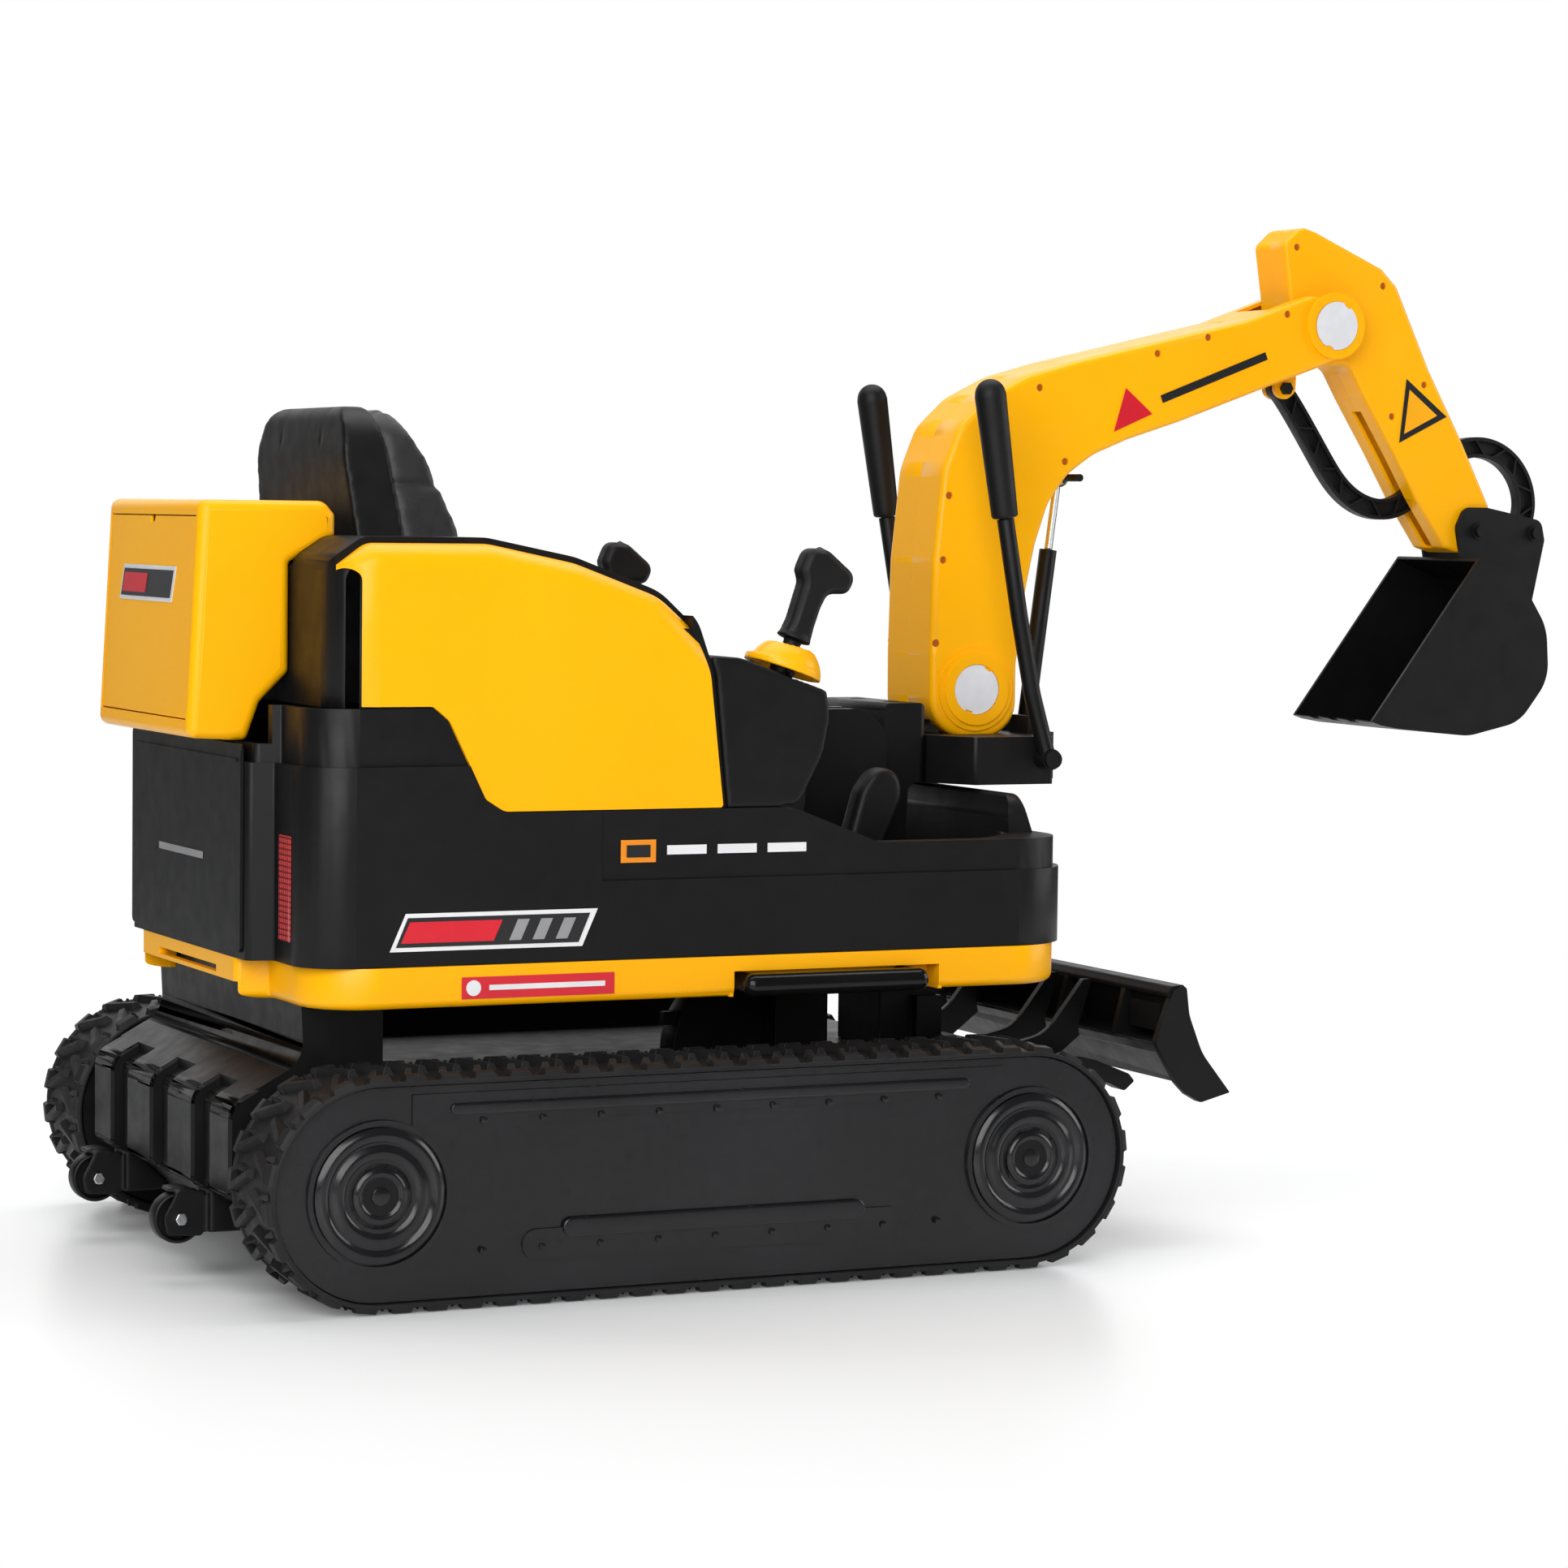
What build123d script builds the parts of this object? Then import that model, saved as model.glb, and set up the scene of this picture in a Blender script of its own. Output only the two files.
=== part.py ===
import os
from math import atan2, cos, degrees, hypot, pi, radians, sin, tan

from build123d import *

# Children's ride-on digger. Millimetres, +Z up, +X towards the bucket, +Y to the rider's left.
# Ground is Z = 0. Shapes are built about the middle of the track base, then moved by FRAME_X so
# that the origin is under the middle of the whole machine.

# overall layout
FRAME_X = -347.1        # middle of the track base, measured from the origin
WHEELBASE = 686.0
HUB_Z = 112.0
TRACK_OUT = 372.0       # outer edge of a belt, from the centre plane
TRACK_IN = 252.0

# belts, covers and wheels
BELT_IN_R = 102.0
BELT_BAND_R = 106.0
LUG_R = 112.0
LUG_COUNT = 58
COVER_R = 100.5
COVER_FACE = 366.0
COVER_T = 3.0
HUB_RINGS = ((71.0, 66.0), (53.0, 48.0), (36.0, 31.0))
EMBOSS_T = 4.0
WHEEL_R = 99.0
WHEEL_IN = 270.0
WHEEL_OUT = 352.0
AXLE_R = 8.0
RUN_FIT = 0.05
CAP_R = 21.0

# undercarriage
DECK_Z = 185.0
APRON_X = -441.0
APRON_W = 222.0
TOWER_X0 = -371.0
TOWER_X1 = -287.0
TOWER_W = 225.0
PAN_Z0 = 275.0
PAN_Z1 = 315.0
PAN_FLOOR = 300.0
PAN_EDGE_R = 9.0

# casters
CASTER_Y = 137.0
CASTER_X = -466.0
CASTER_Z = 65.0
CASTER_R = 25.0
CASTER_W = 20.0
CASTER_BOLT_R = 4.0

# body
BODY_W = 287.0          # half width of the lower body
BODY_X0 = -386.0
BODY_X1 = 446.0
SILL_Z = 460.0
REAR_LEDGE_Z = 560.0
UPPER_X0 = -357.0
UPPER_W = 280.0
PANEL_T = 5.0
SEAT_W = 170.0          # half width of the seat well
SEAT_Z = 500.0
FLOOR_Z = 332.0
FRONT_LIP_Z = 462.0

# storage box
BOX_W = 150.0
BOX_T = 4.0
BOX_EDGE_R = 10.0
DOOR_W = 137.0
DOOR_Z0 = 545.0
DOOR_Z1 = 739.0
DOOR_T = 3.0
DOOR_GAP = 0.5           # the door's face lies this far inside the box's rear face
DOOR_LEAN = 12.0 / 228.0
NOTCH_R = 8.0
GAP = 1.0

# arm pivots, in the side view
BOOM_PIVOT = (440.0, 564.0)
STICK_PIVOT = (881.0, 961.0)
LINK_BOOM = (844.0, 892.5)
BUCKET_PIVOT = (1087.0, 737.5)
LINK_BUCKET = (1163.0, 735.5)
BOOM_HALF = 54.5
BOOM_WALL = 4.0
BOOM_EDGE_R = 7.0
STICK_HALF = 33.0
STICK_WALL = 4.0
STICK_EDGE_R = 5.0
PIN_R = 8.0
LINK_HALF = 7.0
LINK_PIN_R = 4.0
LINK_EYE_SLACK = 5.0
SLOT_HALF = 9.5
EAR_IN = 34.5
EAR_T = 4.0
BUCKET_HALF = 82.0
BUCKET_T = 4.0

# gas strut
STRUT_LOW = (528.0, 498.0)
STRUT_TOP = (566.0, 790.0)
STRUT_TUBE_R = 9.5
STRUT_ROD_R = 4.5
STRUT_TUBE_L = 216.0
STRUT_ROD_FROM = 68.0
STRUT_PIN_R = 4.0
STRUT_EYE_SLACK = 3.4

# levers
LEVER_Y = 137.0
LEVER_PIVOT = (484.0, 494.0)
LEVER_TUBE_R = 9.0
GRIP_R = 14.0
LEVER_BOLT_R = 6.0

# joysticks
JOY_Y = 250.0
JOY_PIVOT = (120.0, 594.0)
JOY_LEAN = 21.0
DOME_R = 41.0
DOME_LEAN = 19.0
DOME_MOUTH_R = 22.5
TILT_PIN_R = 3.5


def xz(points):
    """Closed face in the side view. Each point is x, z and an optional corner radius."""
    n = len(points)
    corners = []
    for i in range(n):
        p = points[i]
        r = p[2] if len(p) > 2 else 0.0
        if not r:
            corners.append((p[0], p[1]))
            continue
        a = points[i - 1]
        b = points[(i + 1) % n]
        ua = (a[0] - p[0], a[1] - p[1])
        ub = (b[0] - p[0], b[1] - p[1])
        la = hypot(*ua)
        lb = hypot(*ub)
        ua = (ua[0] / la, ua[1] / la)
        ub = (ub[0] / lb, ub[1] / lb)
        half = atan2(abs(ua[0] * ub[1] - ua[1] * ub[0]), ua[0] * ub[0] + ua[1] * ub[1]) / 2
        d = min(r / tan(half), la * 0.49, lb * 0.49)
        r = d * tan(half)
        bis = (ua[0] + ub[0], ua[1] + ub[1])
        lbis = hypot(*bis)
        reach = d / cos(half)
        mid = reach - r
        if d < 0.05 or lbis < 1e-6:
            corners.append((p[0], p[1]))
            continue
        s = (p[0] + ua[0] * d, p[1] + ua[1] * d)
        m = (p[0] + bis[0] / lbis * mid, p[1] + bis[1] / lbis * mid)
        e = (p[0] + ub[0] * d, p[1] + ub[1] * d)
        corners.append((s, m, e))
    edges = []
    ends = [(c, c) if not isinstance(c[0], tuple) else (c[0], c[2]) for c in corners]
    for i, c in enumerate(corners):
        if isinstance(c[0], tuple):
            edges.append(ThreePointArc(c[0], c[1], c[2]))
        here = ends[i][1]
        there = ends[(i + 1) % n][0]
        if hypot(here[0] - there[0], here[1] - there[1]) > 1e-6:
            edges.append(Line(here, there))
    return make_face(edges)


def slab(face, y0, y1):
    """Side-view face pushed from y0 to y1."""
    return extrude(Plane.XZ.offset(-y1) * face, amount=y1 - y0)


def plan(face, z0, z1):
    """Plan-view face pushed from z0 to z1."""
    return extrude(Pos(0, 0, z0) * face, amount=z1 - z0)


def disc(x, z, r, y0, y1):
    """Cylinder along Y."""
    return slab(Pos(x, z) * Circle(r), y0, y1)


def ring(x, z, r1, r0, y0, y1):
    return slab(Pos(x, z) * (Circle(r1) - Circle(r0)), y0, y1)


def block(x0, x1, y0, y1, z0, z1):
    return Pos((x0 + x1) / 2, (y0 + y1) / 2, (z0 + z1) / 2) * Box(x1 - x0, y1 - y0, z1 - z0)


def rod(p, q, r):
    """Round bar between two points."""
    d = Vector(*q) - Vector(*p)
    return extrude(Plane(origin=p, z_dir=d) * Circle(r), amount=d.length)


def stadium(r, half):
    """Track outline about the hub line in the side view."""
    return Pos(0, HUB_Z) * SlotOverall(2 * (half + r), 2 * r)


def mirror_y(shape):
    return mirror(shape, about=Plane.XZ)


def solids(*shapes):
    """Several separate pieces kept as one group."""
    out = []
    for s in shapes:
        out += list(s.solids())
    return Compound(children=out)


os.makedirs("parts", exist_ok=True)


def save(shape, node):
    export_step(Pos(FRAME_X, 0, 0) * shape, "parts/" + node + ".step")


def both(shape, node):
    """Save a right-hand piece (-Y) and its mirror image."""
    save(shape, node + "_right")
    save(mirror_y(shape), node + "_left")


# ------------------------------------------------------------------ tracks
HALF = WHEELBASE / 2


def track_point(s, r):
    """Point and outward angle at distance s along the outline of radius r."""
    straight = 2 * HALF
    arc = pi * r
    s = s % (2 * straight + 2 * arc)
    if s < straight:
        return -HALF + s, HUB_Z + r, 90.0
    s -= straight
    if s < arc:
        a = 90.0 - degrees(s / r)
        return HALF + r * cos(radians(a)), HUB_Z + r * sin(radians(a)), a
    s -= arc
    if s < straight:
        return HALF - s, HUB_Z - r, -90.0
    s -= straight
    a = -90.0 - degrees(s / r)
    return -HALF + r * cos(radians(a)), HUB_Z + r * sin(radians(a)), a


def make_belt():
    length = 4 * HALF + 2 * pi * BELT_BAND_R
    pitch = length / LUG_COUNT
    face = stadium(BELT_BAND_R, HALF)
    lug_w0 = 10.0
    lug_w1 = 7.0
    for i in range(LUG_COUNT):
        x, z, a = track_point(i * pitch, BELT_BAND_R)
        depth = LUG_R - BELT_BAND_R
        lug = Polygon((-1.5, -lug_w0), (depth, -lug_w1), (depth, lug_w1), (-1.5, lug_w0), align=None)
        face = face + Pos(x, z) * Rot(0, 0, a) * lug
    face = face - stadium(BELT_IN_R, HALF)
    return slab(face, -TRACK_OUT, -TRACK_IN)


both(make_belt(), "track_belt")


def make_cover():
    y1 = -COVER_FACE
    plate = slab(stadium(COVER_R, HALF), y1, y1 + COVER_T)
    rim = slab(stadium(COVER_R, HALF) - stadium(COVER_R - COVER_T, HALF), y1, y1 + 12.0)
    body = plate + rim
    for sx in (-1, 1):
        for r1, r0 in HUB_RINGS:
            body = body + ring(sx * HALF, HUB_Z, r1, r0, y1 - EMBOSS_T, y1 + 0.5)
        body = body + ring(sx * HALF, HUB_Z, HUB_RINGS[2][0] - 5.0, CAP_R + 0.4, y1 - EMBOSS_T + 1.5, y1 + 0.5)
    top_bar = xz([(-311, HUB_Z + 64), (311, HUB_Z + 64), (311, HUB_Z + 93), (-311, HUB_Z + 93)])
    low_bar = Pos(0, HUB_Z - 55) * SlotOverall(400, 30)
    body = body + slab(top_bar, y1 - 2.0, y1 + 0.5)
    body = body + slab(low_bar, y1 - 2.5, y1 + 0.5)
    for sx in (-1, 1):
        body = body - disc(sx * HALF, HUB_Z, CAP_R + 0.4, y1 - 10, y1 + 20)
    return body


cover = make_cover()
save(solids(cover, mirror_y(cover)), "track_covers")


def make_frame():
    y0 = -264.0
    plate = slab(stadium(BELT_IN_R - 2.5, HALF), y0, y0 + 6.0)
    beam = slab(xz([(-225, 60, 12), (225, 60, 12), (225, 168, 12), (-225, 168, 12)]), -356, y0)
    hollow = slab(xz([(-215, 70, 8), (215, 70, 8), (215, 158, 8), (-215, 158, 8)]), -357, y0 - 6)
    body = plate + beam - hollow
    for x in (-110, 0, 110):
        body = body + block(x - 3, x + 3, -356, y0, 69, 159)
    for sx in (-1, 1):
        body = body - disc(sx * HALF, HUB_Z, AXLE_R + 0.5, y0 - 1, y0 + 10)
    return body


side = make_frame()
save(solids(side, mirror_y(side)), "side_frames")


def make_wheel(x):
    body = disc(x, HUB_Z, WHEEL_R, -WHEEL_OUT, -WHEEL_IN)
    pocket = ring(x, HUB_Z, WHEEL_R - 9, 24, -WHEEL_OUT - 1, -WHEEL_OUT + 34)
    body = body - pocket
    body = body - mirror(pocket, about=Plane.XZ.offset((WHEEL_OUT + WHEEL_IN) / 2))
    for k in range(6):
        a = 60.0 * k
        spoke = slab(Rot(0, 0, a) * (Pos(56, 0) * Rectangle(68, 8)), -WHEEL_OUT + 4, -WHEEL_IN - 4)
        body = body + Pos(x, 0, HUB_Z) * spoke
    return body - disc(x, HUB_Z, AXLE_R + RUN_FIT, -WHEEL_OUT - 1, -WHEEL_IN + 1)


both(make_wheel(-HALF), "drive_wheel")
both(make_wheel(HALF), "idler_wheel")


def make_axles():
    out = []
    for sx in (-1, 1):
        a = disc(sx * HALF, HUB_Z, AXLE_R, -COVER_FACE + 5, -228)
        a = a + disc(sx * HALF, HUB_Z, 16, -COVER_FACE + 3.5, -WHEEL_OUT - 1.5)
        out += [a, mirror_y(a)]
    return solids(*out)


save(make_axles(), "track_axles")


def make_hub_caps():
    out = []
    for sx in (-1, 1):
        c = disc(sx * HALF, HUB_Z, CAP_R, -COVER_FACE - 4.5, -COVER_FACE + 3.0)
        c = fillet(c.edges().group_by(Axis.Y)[0], 2.0)
        out += [c, mirror_y(c)]
    return solids(*out)


save(make_hub_caps(), "hub_caps")


# ------------------------------------------------------------------ undercarriage
APRON_RIBS = ((-222.0, -160.0), (-107.0, -27.0), (27.0, 107.0), (160.0, 222.0))
APRON_RECESS = 12.0
HULL_T = 5.0


def make_undercarriage():
    recess_x = APRON_X + APRON_RECESS
    back = [(TOWER_X0 + 4, 222, 30), (TOWER_X0, PAN_FLOOR - 0.5), (TOWER_X1, PAN_FLOOR - 0.5),
            (TOWER_X1, DECK_Z, 12), (405, DECK_Z, 10), (425, 130, 10), (395, 55, 10), (-390, 55, 10)]
    low = [(recess_x, 92, 6), (recess_x, 178, 12), (recess_x + 17, 187), (recess_x + 17, 197.7)]
    hull = slab(xz(low + back), -APRON_W, APRON_W)
    for y0, y1 in APRON_RIBS:
        rib = xz([(APRON_X, 92, 10), (APRON_X, 182, 22), (TOWER_X0 + 4, 222), (-380, 62)])
        hull = hull + chamfer(slab(rib, y0, y1).edges().group_by(Axis.X)[0], 3)
    inner = xz([
        (recess_x + HULL_T, 90), (recess_x + HULL_T, 174, 8), (recess_x + 23, 185), (TOWER_X0 + 8, 219, 24),
        (TOWER_X0 + HULL_T, PAN_FLOOR - 5), (TOWER_X1 - HULL_T, PAN_FLOOR - 5), (TOWER_X1 - HULL_T, DECK_Z - 5, 8),
        (400, DECK_Z - 5, 8), (419, 130, 8), (391, 60, 6), (-387, 60, 6),
    ])
    return hull - slab(inner, -APRON_W + HULL_T, APRON_W - HULL_T)


COL_A = (212.0, 273.0)
COL_B = (334.0, 402.0)
COL_HALF = 50.0
DRUM = (200.0, 185.0, 90.0)


def make_columns():
    a = block(*COL_A, -COL_HALF, COL_HALF, DECK_Z + 0.3, PAN_FLOOR - 0.5)
    b = block(*COL_B, -COL_HALF, COL_HALF, DECK_Z + 0.3, PAN_FLOOR - 0.5)
    b = b + block(COL_B[1] - 30, COL_B[1], -COL_HALF - 12, COL_HALF + 12, DECK_Z + 0.3, 240)
    return solids(a, b)


def make_drum():
    x, z, r = DRUM
    body = slab(Pos(x, z) * Circle(r), -18, 18)
    keep = block(x - r, COL_A[0] - 0.3, -20, 20, DECK_Z + 0.3, PAN_FLOOR - 0.5)
    body = body & keep
    lug = block(x - r - 6, x - r + 30, -6, 6, 213, 227)
    return body + lug


undercarriage = make_undercarriage()
save(undercarriage, "undercarriage")
save(solids(make_columns(), make_drum()), "front_columns")


def make_gearbox():
    y1 = -APRON_W - 0.3
    body = slab(xz([(-395, 84, 8), (-302, 84, 8), (-302, 146, 14), (-330, 160, 14), (-395, 160, 14)]), -250, y1)
    return body - disc(-HALF, HUB_Z, AXLE_R + 0.4, -251, -221)


gearbox = make_gearbox()
save(solids(gearbox, mirror_y(gearbox)), "gearboxes")


# ------------------------------------------------------------------ casters
def make_caster_fork():
    y = -CASTER_Y
    half = CASTER_W / 2 + 1.0
    cheek = slab(
        xz([(CASTER_X - 17, CASTER_Z + 2, 8), (CASTER_X - 14, CASTER_Z - 16, 8), (CASTER_X + 22, CASTER_Z - 18, 3),
            (CASTER_X + 26, CASTER_Z + 24, 4), (CASTER_X - 2, CASTER_Z + 30, 8)]),
        y - half - 4, y - half,
    )
    fork = cheek + mirror(cheek, about=Plane.XZ.offset(-y))
    hood = slab(Pos(CASTER_X, CASTER_Z) * (Circle(CASTER_R + 6) - Circle(CASTER_R + 2)), y - half - 2, y + half + 2)
    keep = slab(xz([(CASTER_X - 6, CASTER_Z + 8), (CASTER_X - 14, CASTER_Z + 40), (CASTER_X + 40, CASTER_Z + 40),
                    (CASTER_X + 40, CASTER_Z + 8)]), y - half - 4, y + half + 4)
    fork = fork + (hood & keep)
    fork = fork + block(CASTER_X + 27.5, -395, y - half - 10, y + half + 10, CASTER_Z - 14, CASTER_Z + 26)
    for y0 in (y - half - 4, y + half):
        fork = fork + block(CASTER_X + 18, CASTER_X + 32, y0, y0 + 4, CASTER_Z - 14, CASTER_Z + 20)
    return fork - disc(CASTER_X, CASTER_Z, CASTER_BOLT_R + 0.3, y - half - 6, y + half + 6)


def make_caster_bolt():
    y = -CASTER_Y
    half = CASTER_W / 2 + 5.3
    b = disc(CASTER_X, CASTER_Z, CASTER_BOLT_R, y - half - 1, y + half + 1)
    head = slab(Pos(CASTER_X, CASTER_Z) * RegularPolygon(6.5, 6), y - half - 4, y - half)
    nut = slab(Pos(CASTER_X, CASTER_Z) * RegularPolygon(6.5, 6), y + half, y + half + 4)
    return b + head + nut


def make_caster_wheel():
    y = -CASTER_Y
    w = disc(CASTER_X, CASTER_Z, CASTER_R, y - CASTER_W / 2, y + CASTER_W / 2)
    w = chamfer(w.edges().filter_by(GeomType.CIRCLE), 2.0)
    w = w - ring(CASTER_X, CASTER_Z, CASTER_R - 4, 10, y - CASTER_W / 2 - 1, y - CASTER_W / 2 + 6)
    w = w - ring(CASTER_X, CASTER_Z, CASTER_R - 4, 10, y + CASTER_W / 2 - 6, y + CASTER_W / 2 + 1)
    return w - disc(CASTER_X, CASTER_Z, CASTER_BOLT_R + RUN_FIT, y - 20, y + 20)


fork = make_caster_fork() - undercarriage
save(solids(fork, mirror_y(fork)), "caster_forks")
bolt = make_caster_bolt()
save(solids(bolt, mirror_y(bolt)), "caster_bolts")
both(make_caster_wheel(), "caster_wheel")


# ------------------------------------------------------------------ dozer blade
BLADE_HALF = 310.0


def make_blade():
    # curved plate, deeper at the middle height, with a top bar and end plates
    plate = slab(
        xz([(552, 272, 3), (556, 240, 40), (572, 200, 60), (606, 158, 1), (600, 157, 1), (566, 195, 60),
            (546, 236, 30), (538, 268, 3)]),
        -BLADE_HALF, BLADE_HALF,
    )
    end = slab(
        xz([(553, 272, 5), (557, 240, 40), (573, 200, 60), (607, 158, 1), (572, 149, 6), (556, 158, 6),
            (544, 170, 6), (518, 212, 3), (538, 266, 6)]),
        -BLADE_HALF - 3, -BLADE_HALF + 7,
    )
    body = plate + end + mirror_y(end)
    top_bar = slab(xz([(530, 258, 4), (536, 270, 4), (550, 271, 2), (553, 258, 2)]), -BLADE_HALF, BLADE_HALF)
    low_bar = slab(xz([(518, 212, 2), (530, 200, 2), (570, 196, 2), (562, 214, 2)]), -BLADE_HALF, BLADE_HALF)
    body = body + top_bar + low_bar
    for y in (-BLADE_HALF + 92, -96, 96, BLADE_HALF - 92):
        body = body + slab(xz([(521, 212), (534, 262), (554, 262), (566, 200)]), y - 4, y + 4)
    for y0 in (-BLADE_HALF + 18, BLADE_HALF - 78):
        body = body + block(534, 552, y0, y0 + 60, 222, 250)
    return body


def make_blade_arms():
    out = []
    for sy in (-1, 1):
        for y in (78.0, 150.0):
            rib = slab(
                xz([(432, 150, 4), (432, 196, 12), (478, 206, 40), (522, 262, 4), (532, 262, 2), (516, 213, 2),
                    (518, 203), (470, 166, 30)]),
                sy * y - 4, sy * y + 4,
            )
            out.append(rib)
    arms = out[0]
    for o in out[1:]:
        arms = arms + o
    bar = block(424, 438, -158, 158, 140, 192)
    arms = arms + bar
    for sy in (-1, 1):
        low = slab(
            xz([(430, 140, 3), (430, 176, 3), (500, 186, 30), (545, 168, 6), (552, 160, 2), (540, 150, 4),
                (520, 160, 14), (480, 158, 20)]),
            sy * 200 - 12, sy * 200 + 12,
        )
        low = low + block(424, 436, min(sy * 150, sy * 212), max(sy * 150, sy * 212), 140, 178)
        arms = arms + low
    return arms - slab(xz([(516.8, 212), (537, 268), (700, 268), (700, 100), (556, 157.5), (543.5, 169.5)]), -400, 400)


save(make_blade(), "dozer_blade")
save(make_blade_arms(), "blade_arms")


# ------------------------------------------------------------------ base pan and lower body
def body_plan(x0, x1, w, bump, bump_w, rf, rr):
    """Plan outline: rounded corners, with a flat rear bump behind the tail-light corners."""
    pts = [
        (x0, -w, rr), (x1, -w, rf), (x1, w, rf), (x0, w, rr),
        (x0, bump_w + 8, 3), (x0 - bump, bump_w, 8), (x0 - bump, -bump_w, 8), (x0, -bump_w - 8, 3),
    ]
    return xz(pts)


STEP_X = (53.0, 279.0)
STEP_R = 11.5
STEP_Z = 287.0
STEP_Y = 301.0


def make_pan():
    outer = plan(body_plan(-380, 436, 290, 32, 150, 70, 85), PAN_Z0, PAN_Z1)
    outer = fillet(outer.edges().group_by(Axis.Z)[0], PAN_EDGE_R)
    inner = plan(body_plan(-374, 430, 284, 30, 144, 66, 80), PAN_Z0 - 1, PAN_FLOOR)
    body = outer - inner
    top_cut = plan(body_plan(-374, 430, 281, 29, 144, 64, 78), PAN_FLOOR + 5, PAN_Z1 + 1)
    body = body - top_cut
    # raised rear lip with its hand slot
    lift = slab(xz([(-450, 270), (-340, 270), (-385, 292), (-450, 292)]), -150, 150)
    body = body - lift
    body = body - block(-440, -385, -92, 92, 296, 303)
    # side recess for the step
    for sy in (-1, 1):
        body = body - block(*STEP_X, min(sy * 262, sy * 300), max(sy * 262, sy * 300), 270, PAN_FLOOR)
        body = body + block(STEP_X[0] - 4, STEP_X[1] + 4, min(sy * 258, sy * 262), max(sy * 258, sy * 262),
                            279, PAN_FLOOR + 1)
        for x in STEP_X:
            body = body + block(x - 4 if x < 100 else x, x if x < 100 else x + 4,
                                min(sy * 258, sy * 288), max(sy * 258, sy * 288), 275, PAN_FLOOR + 1)
    # stiffening teeth under the floor
    for sy in (-1, 1):
        for x in (-240, -165, -90, -15):
            tooth = slab(xz([(x - 9, PAN_FLOOR + 0.5), (x + 9, PAN_FLOOR + 0.5), (x, PAN_FLOOR - 9)]),
                         sy * 250 - 2, sy * 250 + 2)
            body = body + tooth
    return body


def make_steps():
    out = []
    for sy in (-1, 1):
        bar = rod((STEP_X[0] + 16, sy * STEP_Y, STEP_Z), (STEP_X[1] - 30, sy * STEP_Y, STEP_Z), STEP_R)
        a = rod((STEP_X[0] + 16, sy * STEP_Y, STEP_Z), (STEP_X[0] + 16, sy * 262.4, STEP_Z), STEP_R - 1)
        b = rod((STEP_X[1] - 30, sy * STEP_Y, STEP_Z), (STEP_X[1] - 30, sy * 262.4, STEP_Z), STEP_R - 1)
        bar = bar + a + b
        bar = bar + Pos(STEP_X[0] + 16, sy * STEP_Y, STEP_Z) * Sphere(STEP_R)
        bar = bar + Pos(STEP_X[1] - 30, sy * STEP_Y, STEP_Z) * Sphere(STEP_R)
        out.append(bar)
    return solids(*out)


def make_rim_hollow():
    """Space between the inner and outer walls of the front tub, open underneath."""
    space = plan(xz([(8, -281, 4), (BODY_X1 - 12, -281, 64), (BODY_X1 - 12, 281, 64), (8, 281, 4)]), 300, 418)
    wall = xz([(0, -267, 1), (347, -267, 62), (407, -207, 62), (407, 207, 62), (347, 267, 62), (0, 267, 1)])
    return space - plan(wall, FLOOR_Z - 5, 700)


def make_front_wall():
    """Raised lip on the front of the tub, under the arm bracket and leaning back."""
    lip = slab(xz([(BODY_X1 - 16, 422), (BODY_X1 - 26, FRONT_LIP_Z, 4), (BODY_X1 - 38, FRONT_LIP_Z, 4),
                   (402.5, 440, 20), (402.5, 422)]), -205, 205)
    ends = Plane.YZ.offset(380) * xz([(-205, 421), (205, 421), (196, FRONT_LIP_Z + 1, 26), (-196, FRONT_LIP_Z + 1, 26)])
    return lip & extrude(ends, amount=80)


def make_lower_body():
    side = xz([
        (-430, PAN_Z1 + 0.3), (500, PAN_Z1 + 0.3), (500, 423), (213, 423, 30), (122, 458, 22), (102, SILL_Z, 4),
        (-189, SILL_Z, 18), (-208, 472, 12), (-245, 547, 14), (-262, REAR_LEDGE_Z, 8), (-430, REAR_LEDGE_Z),
    ])
    outer = slab(side, -300, 300) & plan(body_plan(BODY_X0, BODY_X1, BODY_W, 26, 182, 75, 55), PAN_Z1, 600)
    # upper part of the flanks steps in above the groove line
    ridge = 392.0
    trim = plan(Rectangle(2000, 2000) - body_plan(BODY_X0, BODY_X1 - 7, BODY_W - 3, 26, 182, 70, 52), ridge, 700)
    front_only = block(-88, 600, -400, 400, ridge, 700)
    outer = outer - (trim & front_only)
    # upper rear corners step in above the tail-light ledge
    ledge = plan(Rectangle(2000, 2000) - body_plan(BODY_X0 + 7, BODY_X1, BODY_W - 5, 26, 182, 70, 50), 505, 700)
    outer = outer - (ledge & block(-600, -200, -400, 400, 505, 700))
    cavity = plan(body_plan(BODY_X0 + 14, 2, BODY_W - 10, 24, 172, 20, 44), PAN_Z1 + 5, 700)
    low_cavity = plan(body_plan(BODY_X0 + 6, 2, BODY_W - 5, 24, 176, 20, 50), PAN_Z1 + 5, 498)
    tub = plan(
        xz([(8, -262, 20), (345, -262, 60), (402, -205, 60), (402, 205, 60), (345, 262, 60), (8, 262, 20)]),
        FLOOR_Z, 700,
    )
    body = outer - cavity - low_cavity - tub - make_rim_hollow() + make_front_wall()
    # rear bump ends under the storage box
    seat = xz([(-500, 523), (-399, 523), (-386, 560), (-357, 590), (-357, 700), (-500, 700)])
    return body - slab(seat, -BOX_W - 0.4, BOX_W + 0.4) - block(-500, BODY_X0 - 2, -190, 190, 523, 700)


def make_rear_panel():
    p = block(BODY_X0 - 29.5, BODY_X0 - 26.3, -174, 174, 322, 522)
    p = fillet(p.edges().filter_by(Axis.X), 6)
    ribs = block(BODY_X0 - 31, BODY_X0 - 29, -165, 165, 505, 508)
    return p + ribs


LIGHT_Z = (337.0, 438.0)


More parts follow.
